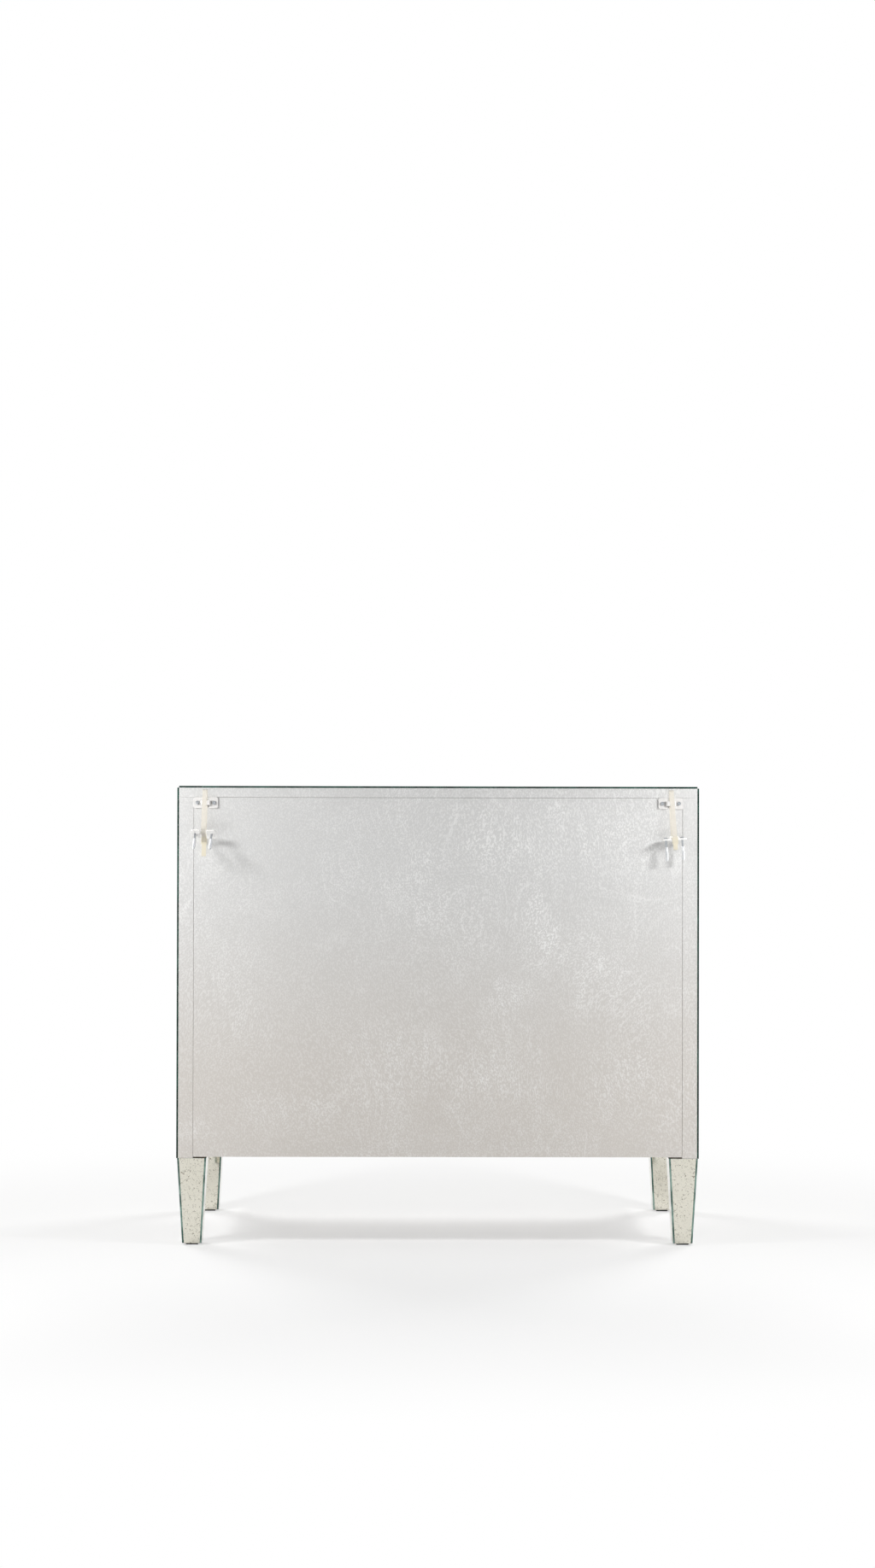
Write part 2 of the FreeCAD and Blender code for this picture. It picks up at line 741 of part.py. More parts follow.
def drawers():
    opening = (p.partition_side, p.wall_inner)
    across = (opening[0] + s.front_gap, opening[1] - s.front_gap)
    up = (p.deck_top + s.front_gap, p.under_top - s.front_gap)
    hole = ((across[0] + across[1]) / 2, (up[0] + up[1]) / 2)
    grip = s.front_mirror_thick + s.front_board + s.box_side
    x0, x1 = opening[0] + s.box_gap, opening[1] - s.box_gap
    y0, y1 = p.board_back, p.back_inner - s.box_rear_gap
    z0 = p.deck_top + s.box_low
    z1 = z0 + s.box_high
    inside_x = (x0 + s.box_side, x1 - s.box_side)
    inside_y = (y0 + s.box_side, y1 - s.box_side)
    bottom = board(
        "drawer_base",
        (inside_x[0] - s.groove_deep, inside_x[1] + s.groove_deep),
        (inside_y[0] - s.groove_deep, inside_y[1] + s.groove_deep),
        (z0 + s.bottom_up, z0 + s.bottom_up + s.bottom_thick),
    )
    runner_low = z0 + s.runner_up
    runner_high = runner_low + s.runner_high
    runner_front = y0 + s.runner_start + s.runner_play
    grooves, runners = [], []
    for title, wall, way in (("middle", opening[0], 1), ("side", opening[1], -1)):
        reach = sorted((wall, wall + way * s.runner_wide), key=lambda end: end.value)
        runners.append(
            board("runner_" + title, reach, (runner_front, p.back_inner), (runner_low, runner_high))
        )
        deep = sorted(
            (wall, wall + way * (s.runner_wide + s.runner_play)), key=lambda end: end.value
        )
        grooves.append(
            board(
                "runner_groove_" + title,
                deep,
                (y0 + s.runner_start, y1),
                (runner_low - s.runner_play, runner_high + s.runner_play),
            )
        )
    walls = [
        board("box_inner", (x0, inside_x[0]), (y0, y1), (z0, z1)),
        board("box_outer", (inside_x[1], x1), (y0, y1), (z0, z1)),
        board("box_front", inside_x, (y0, inside_y[0]), (z0, z1)),
        board("box_rear", inside_x, (inside_y[1], y1), (z0, z1)),
    ]
    radius = s.bolt_radius + s.bolt_hole_play
    drill = rod("box_hole", radius, (hole[0], y0, hole[1]), s.box_side, "+y")
    extra = ([grooves[0]], [grooves[1]], [drill], [])
    shaped = [
        cut(wall.Name + "_shaped", wall, [bottom] + cuts) for wall, cuts in zip(walls, extra)
    ]
    glass_knob, fixing = knob("drawer_knob", hole, grip)
    pieces = {
        "front": front_board("drawer_board", across, up, hole),
        "mirror": bevelled_mirror("drawer_sheet", across, up, hole),
        "box": group("drawer_walls", shaped),
        "bottom": bottom,
        "knob": glass_knob,
        "knob_bolt": fixing,
    }
    for title, piece in pieces.items():
        keep("drawer_right_" + title, piece)
        keep("drawer_left_" + title, twin(piece.Name + "_mirrored", piece))
    runners += [twin(piece.Name + "_mirrored", piece) for piece in runners]
    keep("drawer_runners", group("runner_set", runners))


# ---------------------------------------------------------------- anti-tip kits
def bracket(name):
    """A flat plate with a raised bridge; its back lies on Y = 0, centred on the origin."""
    half_wide, half_high = s.plate_wide / 2, s.plate_high / 2
    gap = s.tunnel_wide / 2
    bar = s.bridge_high / 2
    bridge = s.bridge_wide / 2
    r = s.plate_corner
    height = s.tunnel_deep + s.bridge_thick
    lands = []
    for side in (-1, 1):
        inner, outer = side * gap, side * half_wide
        corners = [
            (inner, -half_high),
            (outer - side * r, -half_high),
            (outer, r - half_high),
            (outer, half_high - r),
            (outer - side * r, half_high),
            (inner, half_high),
        ]
        hole = (side * s.screw_spacing / 2, 0, s.wall_screw_radius + s.bolt_hole_play)
        title = f"{name}_land_{'right' if side > 0 else 'left'}"
        lands.append(pad(title, "XZ", (0, s.plate_thick), corners, [hole]))
    arch = pad(
        name + "_arch",
        "XY",
        (-bar, bar),
        [
            (-bridge, 0),
            (-gap, 0),
            (-gap, s.tunnel_deep),
            (gap, s.tunnel_deep),
            (gap, 0),
            (bridge, 0),
            (bridge, height - r),
            (bridge - r, height),
            (r - bridge, height),
            (-bridge, height - r),
        ],
    )
    return fuse(name, lands + [arch])


def screw(name, radius, length):
    """A screw whose head sits on height 0; its shank runs down."""
    shank = rod(name + "_shank", radius, (0, 0, -length), length)
    head = rod(name + "_head", s.screw_head, (0, 0, 0), s.screw_head_high)
    return group(name, [fuse(name + "_whole", [shank, head])])


def screw_pair(name, radius, length):
    """Two screws through a bracket that lies on Y = 0."""
    screws = []
    for side in (-1, 1):
        piece = screw(f"{name}_{'right' if side > 0 else 'left'}", radius, length)
        piece.Placement = Placement(Vector(), TURNS["+y"])
        put(piece, side * s.screw_spacing / 2, s.plate_thick, 0)
        screws.append(piece)
    return screws


def plug_pair(name):
    """Two ribbed wall plugs on the screws' ends, behind a bracket on Y = 0."""
    plugs = []
    for side in (-1, 1):
        title = f"{name}_{'right' if side > 0 else 'left'}"
        ribs = doc.addObject("Part::Prism", title + "_ribs")
        ribs.Polygon = 8
        bind(ribs, Circumradius=s.plug_radius, Height=s.plug_long)
        bore = rod(title + "_bore", s.wall_screw_radius + s.plug_play, (0, 0, 0), s.plug_long)
        plug = group(title, [cut(title + "_drilled", ribs, [bore])])
        plug.Placement = Placement(Vector(), TURNS["-y"])
        put(plug, side * s.screw_spacing / 2, -s.plug_start, 0)
        plugs.append(plug)
    return plugs


def smooth_path(points, radius):
    """Straight runs through (out, up) points, joined by tangent arcs."""
    points = [Vector(0, out, up) for out, up in points]
    edges = []
    start = points[0]
    for before, corner, after in zip(points, points[1:], points[2:]):
        arriving = (corner - before).normalize()
        leaving = (after - corner).normalize()
        turn = arriving.getAngle(leaving)
        room = 0.45 * min((corner - before).Length, (after - corner).Length)
        reach = min(radius * math.tan(turn / 2), room)
        bend = reach / math.tan(turn / 2)
        first = corner - arriving * reach
        last = corner + leaving * reach
        inward = (leaving - arriving).normalize()
        middle = corner + inward * (bend / math.cos(turn / 2) - bend)
        edges.append(Part.makeLine(start, first))
        edges.append(Part.Arc(first, middle, last).toShape())
        start = last
    edges.append(Part.makeLine(start, points[-1]))
    return Part.Wire(edges)


def strap(name, points):
    """A flat band that stands across X and follows a smooth path."""
    wire = smooth_path(points, s.bend.value)
    edge = wire.makeOffset2D(s.strap_thick.value / 2, 0, False, False, False)
    band = Part.Face(edge).extrude(Vector(s.strap_wide.value, 0, 0))
    band.translate(Vector(-s.strap_wide.value / 2, 0, 0))
    thing = doc.addObject("Part::Feature", name)
    thing.Shape = band
    return thing


def tie_head(name, out, up):
    """The tie's locking head, with a slot that the strap passes through."""
    half = s.head_high / 2
    slot_x = s.strap_wide / 2 + s.slot_play
    slot_y = s.strap_thick / 2 + s.slot_play
    across = (-s.head_wide / 2, s.head_wide / 2)
    shell = board(
        name + "_shell", across, (out - s.head_deep / 2, out + s.head_deep / 2), (up - half, up + half)
    )
    slot = board(
        name + "_slot", (-slot_x, slot_x), (out - slot_y, out + slot_y), (up - half, up + half)
    )
    hollow = cut(name + "_hollow", shell, [slot])
    pawl = board(
        name + "_pawl",
        (-s.strap_wide / 4, s.strap_wide / 4),
        (out + s.strap_thick / 2, out + slot_y + s.slot_play),
        (up - s.head_deep / 4, up + s.head_deep / 4),
    )
    return [hollow, pawl]


def left_tie():
    """Front strand down through the head, base strand level under the wall bracket."""
    z = p.bracket_z.value
    strand = z - s.left_strand_drop.value
    head = s.left_head_out.value
    near = s.seat_gap.value + s.strap_thick.value / 2
    behind = s.strap_behind.value
    points = [
        (head, z - s.left_tail.value),
        (head, strand + s.bend.value),
        (s.front_out.value, z + s.front_rise.value),
        (s.loop_front.value, z + s.loop_rise.value),
        (s.loop_back.value, z + s.loop_rise.value),
        (behind, z + s.bridge_high.value / 2),
        (behind, z - s.bridge_high.value / 2),
        (near, z - s.plate_high.value / 2),
        (near, strand),
        (head - s.head_deep.value / 2 + s.slot_play.value, strand),
    ]
    pieces = tie_head("left_head", s.left_head_out, p.bracket_z - s.left_head_drop)
    return fuse("left_tie", [strap("left_strap", points)] + pieces)


def right_tie():
    """Rear strand down through the head, base strand out and up to the wall bracket."""
    z = p.bracket_z.value
    head = s.seat_gap.value + s.head_deep.value / 2
    slope = math.radians(s.right_tilt.value - 90)
    wall = Vector(0, s.right_wall_out.value, z - s.right_wall_drop.value)
    along = Vector(0, math.cos(slope), math.sin(slope))
    knee = wall + along * s.right_knee.value
    to_head = (wall.y - head - s.head_deep.value / 2 + s.slot_play.value) / along.y
    root = wall - along * to_head
    behind = s.strap_behind.value
    points = [
        (head, z - s.right_tail.value),
        (head, z - s.right_wall_drop.value),
        (behind, z - s.plate_high.value / 2),
        (behind, z + s.bridge_high.value / 2),
        (s.loop_back.value, z + s.loop_rise.value),
        (s.loop_front.value, z + s.loop_rise.value),
        (s.front_out.value, z + s.front_rise.value),
        (knee.y, knee.z),
        (root.y, root.z),
    ]
    out = s.seat_gap + s.head_deep / 2
    pieces = tie_head("right_head", out, p.bracket_z - s.right_head_drop)
    return fuse("right_tie", [strap("right_strap", points)] + pieces)


def hang(name, things, move):
    """Group loose pieces and move them together."""
    thing = group(name, things)
    thing.Placement = move
    return thing


def restraints():
    """One kit at each side: bracket and screws on the back, the rest on a cable tie."""
    fixed_screws = []
    kits = (
        ("left", -1, left_tie, s.left_wall_out, s.left_strand_drop, s.left_tilt, s.left_lean),
        ("right", 1, right_tie, s.right_wall_out, s.right_wall_drop, s.right_tilt, s.right_lean),
    )
    for side, sign, make_tie, wall_out, wall_drop, tilt, lean in kits:
        centre = sign * p.kit_across
        fixed = group(side + "_fixed", [bracket(side + "_bracket")])
        put(fixed, centre, p.back, p.bracket_z)
        keep("restraint_bracket_" + side, fixed)
        screws = group(side + "_screws", screw_pair(side + "_screw", s.screw_radius, s.screw_long))
        put(screws, centre, p.back, p.bracket_z)
        fixed_screws.append(screws)

        pivot = Vector(0, 0, p.bracket_z.value)
        swing = Placement(Vector(), Rotation(Vector(0, 1, 0), -sign * lean.value), pivot)
        hang_at = centre + sign * s.tie_offset
        home = Placement(Vector(hang_at.value, p.back.value, 0), Rotation()) * swing
        keep("tie_" + side, hang(side + "_tie_hung", [make_tie()], home))
        turn = Rotation(Vector(1, 0, 0), tilt.value)
        normal = turn.multVec(Vector(0, 1, 0))
        touch = Vector(0, wall_out.value, p.bracket_z.value - wall_drop.value)
        seat = home * Placement(touch - normal * p.strap_lift.value, turn)
        keep("wall_bracket_" + side, hang(side + "_wall_hung", [bracket(side + "_wall")], seat))
        long_screws = screw_pair(side + "_wall_screw", s.wall_screw_radius, s.wall_screw_long)
        keep("wall_screws_" + side, hang(side + "_wall_screws", long_screws, seat))
        keep("wall_anchors_" + side, hang(side + "_plugs", plug_pair(side + "_plug"), seat))
    keep("restraint_screws", group("bracket_screws", fixed_screws))


# ---------------------------------------------------------------- build and write
def faults():
    """Everything that failed to build, in words."""
    found = []
    for thing in doc.Objects:
        if {"Invalid", "Error"} & set(thing.State):
            found.append(f"{thing.Name} is {thing.State}")
    for label, thing in nodes.items():
        if thing.Shape.isNull() or not thing.Shape.isValid():
            found.append(f"{label} has no valid shape")
    return found


def main():
    wooden_case()
    shelf()
    fixed_mirrors()
    legs()
    doors()
    case_hardware()
    drawers()
    restraints()
    doc.recompute()
    for label, thing in nodes.items():
        thing.Label = label
    problems = faults()
    if problems:
        raise RuntimeError("; ".join(problems))
    os.makedirs("parts", exist_ok=True)
    for label, thing in nodes.items():
        thing.Shape.exportStep(f"parts/{label}.step")
    print(len(nodes), "nodes,", sum(len(thing.Shape.Solids) for thing in nodes.values()), "solids")


main()
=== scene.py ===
"""Looks of the mirrored cabinet: finishes, arrised glass, screws, plugs, ties and cut-glass knobs.

Metres, +Z up, the front faces -Y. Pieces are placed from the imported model's own boxes and from
the sizes below.
"""

import json
import math
from contextlib import contextmanager

import bmesh
import bpy
from mathutils import Matrix, Vector

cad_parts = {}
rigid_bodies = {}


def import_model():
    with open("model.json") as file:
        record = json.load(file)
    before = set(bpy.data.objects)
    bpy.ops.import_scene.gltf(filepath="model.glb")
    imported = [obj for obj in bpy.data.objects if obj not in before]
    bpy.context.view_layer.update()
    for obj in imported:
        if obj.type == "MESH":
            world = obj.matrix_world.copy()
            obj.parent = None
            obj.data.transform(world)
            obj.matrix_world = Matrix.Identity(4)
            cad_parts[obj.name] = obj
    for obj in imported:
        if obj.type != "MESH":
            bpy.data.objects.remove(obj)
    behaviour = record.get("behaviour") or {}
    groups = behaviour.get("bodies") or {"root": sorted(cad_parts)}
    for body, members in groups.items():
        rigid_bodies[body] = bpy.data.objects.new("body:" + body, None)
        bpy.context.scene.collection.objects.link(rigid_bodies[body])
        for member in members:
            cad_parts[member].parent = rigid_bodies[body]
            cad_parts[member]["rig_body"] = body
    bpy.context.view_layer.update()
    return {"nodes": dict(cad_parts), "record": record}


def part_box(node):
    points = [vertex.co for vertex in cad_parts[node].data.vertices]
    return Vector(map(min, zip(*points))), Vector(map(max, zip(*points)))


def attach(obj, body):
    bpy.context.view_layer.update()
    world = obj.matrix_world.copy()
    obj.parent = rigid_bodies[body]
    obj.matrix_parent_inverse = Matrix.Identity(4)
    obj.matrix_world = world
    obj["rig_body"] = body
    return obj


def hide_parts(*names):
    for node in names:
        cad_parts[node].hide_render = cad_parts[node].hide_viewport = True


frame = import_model()

MM = 0.001
SIDES = (("left", -1), ("right", 1))
SLOTS = {part["node"]: part["material_slot"] for part in frame["record"]["subparts"]}

# ---------------------------------------------------------------- sizes
GLASS_ARRIS = 0.2 * MM          # ground corners of the glass
BOARD_ROUNDING = 0.5 * MM       # eased edges of the lacquered boards
SEAM = 0.3 * MM                 # joint around the back board
WOOD_ROUNDING = 0.8 * MM
METAL_ROUNDING = 0.15 * MM
PLASTIC_ROUNDING = 0.35 * MM
STRAP_ROUNDING = 0.3 * MM
FACET_ROUNDING = 0.12 * MM      # edges of the cut glass
SHARP_ANGLE = 30                # degrees from which an edge gets rounded
FLAT_ANGLE = 0.5                # degrees within which CAD facets make one flat face
MERGE_GAP = 0.003 * MM          # corners nearer than this become one

GLASS_THICK = 3 * MM
# A face is mirror, bevel, arris or edge by how far it is turned away: 0 faces on, 1 is square.
GLASS_LIMITS = (0.003, 0.02, 0.95)
LEG_TOP = 51 * MM
LEG_BOTTOM = 34 * MM
LEG_CLIP = 3 * MM               # clipped lower corners of the leg mirrors
LEG_FOOT = 2.4 * MM             # rounding of their outer lower edges
GLIDE_HIGH = 3 * MM

PLATE_THICK = 2.5 * MM
SCREW_SPACING = 28.5 * MM
SCREW_HEAD = 3.4 * MM
SCREW_HEAD_HIGH = 2.6 * MM
# Radius and height through a domed head, as shares of the two sizes above.
HEAD_SHARES = ((0.9, 0), (1, 0.15), (1, 0.5), (0.88, 0.8), (0.6, 0.96), (0.25, 1))
SCREW_RADIUS = 1.6 * MM
SCREW_LONG = 10.5 * MM
WALL_SCREW_RADIUS = 1.8 * MM
WALL_SCREW_LONG = 35 * MM
THREAD_PITCH = 1.4 * MM
THREAD_DEEP = 0.5 * MM
THREAD_STEPS = 16               # steps in one turn of the thread
THREAD_SHARE = 0.55             # how much of the shank it covers
THREAD_END = 0.9                # where it ends, as a share of the shank
PLUG_RADIUS = 3 * MM
PLUG_LONG = 24 * MM
PLUG_START = 12 * MM            # plug's mouth behind the bracket
PLUG_BARBS = 6
TIE_OFFSET = 0.8 * MM
TIE_RIB = 1.3 * MM              # spacing of the ribs across the ties
TIE_HEAD_TOP = 716 * MM         # the ties' thick heads and tails hang below this height
TIE_FADE = 4 * MM               # half the height over which their colour changes there
STRAP_LIFT = 3.7 * MM           # strap's middle above the loose bracket's base

KNOB_REACH = 28 * MM
COLLAR_HIGH = 9 * MM
GLASS_SEAT = 0.05 * MM          # cement between collar and glass
BOLT_RADIUS = 2 * MM
BOLT_TIP = 0.75 * BOLT_RADIUS
BOLT_CHAMFER = 0.4 * MM
NUT_RADIUS = 4 * MM
NUT_FACE = 0.88 * NUT_RADIUS    # radius within its chamfers
NUT_CHAMFER = 0.5 * MM
NUT_THICK = 3.2 * MM
BOLT_END = 1.5 * MM
FRONT_MIRROR = 5 * MM
BOX_FRONT = 12 * MM             # board of the drawer box, behind the drawer's front
# Radius and height through the knob's glass, then the twist in degrees from ring to ring.
KNOB_FACETS = (
    (6.4 * MM, COLLAR_HIGH + GLASS_SEAT),
    (12.0 * MM, 13 * MM),
    (14.6 * MM, 17 * MM),
    (14.6 * MM, 20 * MM),
    (12.4 * MM, 24 * MM),
    (8.4 * MM, KNOB_REACH),
)
KNOB_TWISTS = (22.5, 22.5, 0, 22.5, 22.5)
COLLAR_PROFILE = (
    (8.0 * MM, 0),
    (8.5 * MM, 0.5 * MM),
    (8.5 * MM, 1.8 * MM),
    (7.4 * MM, 2.5 * MM),
    (5.2 * MM, 3.4 * MM),
    (4.5 * MM, 4.8 * MM),
    (4.9 * MM, 6.6 * MM),
    (6.3 * MM, 8.0 * MM),
    (6.5 * MM, COLLAR_HIGH),
)

HINGE_HIGH = 60 * MM
LEAF_THICK = 1 * MM
LEAF_SCREW = 2.3 * MM           # radius of the countersunk heads
LEAF_SCREW_SUNK = 0.15 * MM
LEAF_SCREW_HOLE = LEAF_SCREW + 0.3 * MM
# Radius and height through the countersink in a leaf and through the head that sits in it.
COUNTERSINK = ((1.3 * MM, -0.7 * MM), (LEAF_SCREW_HOLE, 0), (LEAF_SCREW_HOLE, 0.5 * MM))
LEAF_SCREW_CONE = ((0.7 * LEAF_SCREW, -0.55 * MM), (LEAF_SCREW, -LEAF_SCREW_SUNK))
# Height from the middle of a hinge and distance from the back edge of its leaf.
LEAF_SCREW_PLACES = ((-20 * MM, 7 * MM), (0, 14 * MM), (20 * MM, 7 * MM))


# ---------------------------------------------------------------- shader tools
class Shade:
    """One value or colour in a node tree; arithmetic on values adds Math nodes."""

    def __init__(self, nodes, socket):
        self.nodes = nodes
        self.socket = socket

    def __add__(self, other):
        return self.nodes.maths("ADD", self, other)

    def __radd__(self, other):
        return self.nodes.maths("ADD", other, self)

    def __sub__(self, other):
        return self.nodes.maths("SUBTRACT", self, other)

    def __rsub__(self, other):
        return self.nodes.maths("SUBTRACT", other, self)

    def __mul__(self, other):
        return self.nodes.maths("MULTIPLY", self, other)

    def __rmul__(self, other):
        return self.nodes.maths("MULTIPLY", other, self)

    def __truediv__(self, other):
        return self.nodes.maths("DIVIDE", self, other)


class Nodes:
    """The node tree of a material or world, put together node by node."""

    def __init__(self, owner, where):
        owner.use_nodes = True
        self.tree = owner.node_tree
        self.tree.nodes.clear()
        self.where = self.node("TexCoord", output=where)

    def node(self, kind, settings=None, inputs=None, output=0):
        """Add a node: its settings first, then the values or links of its sockets."""
        made = self.tree.nodes.new("ShaderNode" + kind)
        for name, setting in (settings or {}).items():
            setattr(made, name, setting)
        for name, value in (inputs or {}).items():
            if isinstance(value, Shade):
                self.tree.links.new(value.socket, made.inputs[name])
            else:
                made.inputs[name].default_value = value
        return Shade(self, made.outputs[output]) if len(made.outputs) else None

    def outputs(self, kind, names, inputs=None):
        """Several outputs of one node."""
        sockets = self.node(kind, {}, inputs).socket.node.outputs
        return [Shade(self, sockets[name]) for name in names]

    def maths(self, operation, first, second=0.0):
        return self.node("Math", {"operation": operation}, {0: first, 1: second})

    def between(self, value, low, high):
        """0 at low, 1 at high, smooth in between."""
        settings = {"interpolation_type": "SMOOTHSTEP"}
        return self.node("MapRange", settings, {"Value": value, "From Min": low, "From Max": high})

    def ramp(self, value, low, high, first, last):
        """first at low, last at high, straight in between."""
        span = {"From Min": low, "From Max": high, "To Min": first, "To Max": last}
        return self.node("MapRange", {}, {"Value": value, **span})

    def mix(self, share, first, second):
        """A colour between two colours."""
        sockets = {0: share, 6: colour(first), 7: colour(second)}
        return self.node("Mix", {"data_type": "RGBA"}, sockets, output=2)

    def stretched(self, scale, vector=None):
        return self.node("Mapping", {}, {"Vector": vector or self.where, "Scale": scale})

    def noise(self, vector, scale, detail=2.0, roughness=0.5, distortion=0.0):
        sockets = {
            "Vector": vector,
            "Scale": scale,
            "Detail": detail,
            "Roughness": roughness,
            "Distortion": distortion,
        }
        return self.node("TexNoise", {}, sockets)

    def bent(self, scale, reach):
        """Object coordinates pushed about by a slow noise."""
        push = self.node("TexNoise", {}, {"Vector": self.where, "Scale": scale}, output="Color")
        centred = self.node("VectorMath", {"operation": "SUBTRACT"}, {0: push, 1: (0.5,) * 3})
        sockets = {0: centred, 1: (reach,) * 3, 2: self.where}
        return self.node("VectorMath", {"operation": "MULTIPLY_ADD"}, sockets)

    def axes(self, vector=None):
        """The three parts of a vector, or else of the coordinates."""
        return self.outputs("SeparateXYZ", "XYZ", {"Vector": vector or self.where})

    def length(self, across, up):
        """Length of a flat vector."""
        return self.maths("SQRT", across * across + up * up)

    def hairs(self, scale, width):
        """Thin wandering lines where a noise crosses its middle value."""
        from_middle = self.noise(self.where, scale, detail=1.0, roughness=0.4) - 0.5
        return self.between(self.maths("ABSOLUTE", from_middle), width, 0.2 * width)

    def bump(self, height, strength, distance):
        sockets = {"Height": height, "Strength": strength, "Distance": distance}
        return self.node("Bump", {}, sockets)


class Finish(Nodes):
    """A material whose detail follows the Object coordinates."""

    def __init__(self, name):
        self.material = bpy.data.materials.new(name)
        super().__init__(self.material, "Object")

    def finish(self, **sockets):
        """The Principled shader and the output; _ stands for a space in a socket's name."""
        inputs = {name.replace("_", " "): value for name, value in sockets.items()}
        shader = self.node("BsdfPrincipled", {}, inputs)
        self.node("OutputMaterial", {}, {"Surface": shader})
        return self.material


def colour(value):
    """A display colour, each part from 0 to 255, made linear; a shade passes as it is."""
    if isinstance(value, Shade):
        return value
    parts = [part / 255 for part in value]
    linear = [((part + 0.055) / 1.055) ** 2.4 if part > 0.04 else part / 12.92 for part in parts]
    return (*linear, 1.0)


# ---------------------------------------------------------------- finishes
# Rubbed patches of the silver paint: x and z of the middle, half width and half height in
# metres, and how much they add.
RUBBED = (
    (-0.220, 0.705, 0.170, 0.080, 0.7),
    (0.040, 0.640, 0.045, 0.090, 0.7),
    (-0.175, 0.545, 0.036, 0.060, 0.9),
    (-0.125, 0.440, 0.050, 0.030, 0.9),
    (-0.275, 0.490, 0.070, 0.070, 0.5),
    (0.360, 0.430, 0.080, 0.100, 0.3),
    (0.055, 0.325, 0.080, 0.065, 0.5),
    (-0.310, 0.290, 0.070, 0.070, 0.5),
    (-0.110, 0.290, 0.070, 0.050, 0.5),
    (0.260, 0.235, 0.080, 0.040, 0.4),
)
# Colours as they are displayed, each part from 0 to 255.
PAINT_HIGH = (206, 206, 205)
PAINT_LOW = (207, 202, 196)     # warmer towards the legs
PAINT_VEIL = (226, 226, 225)    # thin paint in the rubbed patches
PAINT_WORN = (250, 250, 249)    # flecks and strokes rubbed to the ground coat
PAINT_SPECK = (176, 169, 164)
WARM_FROM, WARM_TO = 0.70, 0.22     # heights between which the paint turns warmer
BRUSH_LINES = 26.0              # density of the fine lines left by the brush
MIRROR_LINE = (118, 109, 92)
MIRROR_SPECK = (140, 133, 120)
MIRROR_BLOT = (146, 133, 112)
GLASS_CHIP = (196, 208, 202)


def rubbed_patches(f, where, cloud):
    """How densely the paint is rubbed: a little in clouds, more within the patches."""
    x, _, z = f.axes(where)
    dense = 0.4 * f.between(cloud, 0.40, 0.66)
    for across, up, half_wide, half_high, more in RUBBED:
        away = f.length((x - across) / half_wide, (z - up) / half_high)
        dense = dense + 0.8 * more * f.between(away, 1.6, 0.3)
    return f.maths("MINIMUM", dense, 1.0)


def silver_lacquer():
    """Silver paint over sealed board, rubbed to pale flecks that follow swirling strokes."""
    f = Finish("silver_lacquer")
    swirl = f.bent(scale=2.8, reach=0.15)
    slight = f.bent(scale=9.0, reach=0.07)
    finely, along = f.stretched((500, 500, 250), swirl), f.stretched((60, 60, 14), swirl)
    flecks = f.noise(finely, 1.0, detail=2.0, roughness=0.6, distortion=0.15)
    strokes = f.noise(along, 1.0, detail=3.0, roughness=0.6, distortion=0.3)
    cloud = f.noise(swirl, 6.0, detail=4.0, roughness=0.65)
    dense = rubbed_patches(f, slight, cloud) * (0.4 + 0.6 * f.between(strokes, 0.38, 0.58))
    grain = f.noise(f.stretched((1, 1, 0.4), swirl), 5.0, detail=1.0)
    contour = f.maths("PINGPONG", BRUSH_LINES * grain, 0.5)
    lines = f.between(contour, 0.13, 0.0) * f.between(cloud, 0.40, 0.60)
    rubbed = f.between(flecks, 0.47, 0.60) * (0.3 + 0.65 * dense)
    rubbed = f.maths("MAXIMUM", rubbed, 0.62 * lines * f.between(flecks, 0.40, 0.56))
    warmth = f.between(f.axes()[2], WARM_FROM, WARM_TO)
    veiled = f.mix(0.22 * dense, f.mix(warmth, PAINT_HIGH, PAINT_LOW), PAINT_VEIL)
    worn = f.mix(0.7 * rubbed, veiled, PAINT_WORN)
    speckle = f.noise(f.where, 1100.0, detail=1.0)
    toned = f.mix(0.16 * f.between(speckle, 0.42, 0.75), worn, PAINT_SPECK)
    return f.finish(
        Base_Color=toned,
        Metallic=0.2,
        Roughness=0.42 + 0.16 * flecks,
        Normal=f.bump(flecks, strength=0.2, distance=0.3 * MM),
    )


def raw_board():
    """Unpainted edge of the back board, seen in its joints."""
    f = Finish("raw_board")
    fibres = f.noise(f.where, 700.0, detail=3.0, roughness=0.7)
    tone = f.mix(fibres, (120, 92, 72), (84, 62, 48))
    return f.finish(Base_Color=tone, Roughness=0.8 + 0.1 * fibres)


def antique_mirror(name, clear, clouded, age):
    """Mirror with aged silvering: broken hairlines, fine specks and a few brown blots."""
    f = Finish(name)
    patches = f.noise(f.where, 11.0, detail=5.0, roughness=0.68, distortion=0.4)
    foxed = f.between(patches, 0.46, 0.62)
    gaps = f.between(f.noise(f.where, 230.0, detail=1.0), 0.46, 0.58)
    fine = f.hairs(scale=180.0, width=0.028) * gaps
    long = f.hairs(scale=60.0, width=0.006) * f.between(patches, 0.52, 0.62)
    hairs = f.maths("MAXIMUM", fine, long)
    specks = f.between(f.noise(f.where, 520.0, detail=1.0), 0.64, 0.74)
    spots = f.noise(f.where, 60.0, detail=3.0, roughness=0.7, distortion=0.5)
    blots = f.between(spots, 0.66, 0.78) * foxed
    silver = f.mix(f.between(patches, 0.35, 0.75), clear, clouded)
    lined = f.mix(0.9 * age * hairs, silver, MIRROR_LINE)
    marked = f.mix(0.6 * age * specks * (0.5 + 0.5 * foxed), lined, MIRROR_SPECK)
    return f.finish(
        Base_Color=f.mix(0.35 * age * blots, marked, MIRROR_BLOT),
        Metallic=1.0,
        Roughness=0.05 + 0.05 * foxed + 0.25 * blots + 0.15 * hairs,
    )


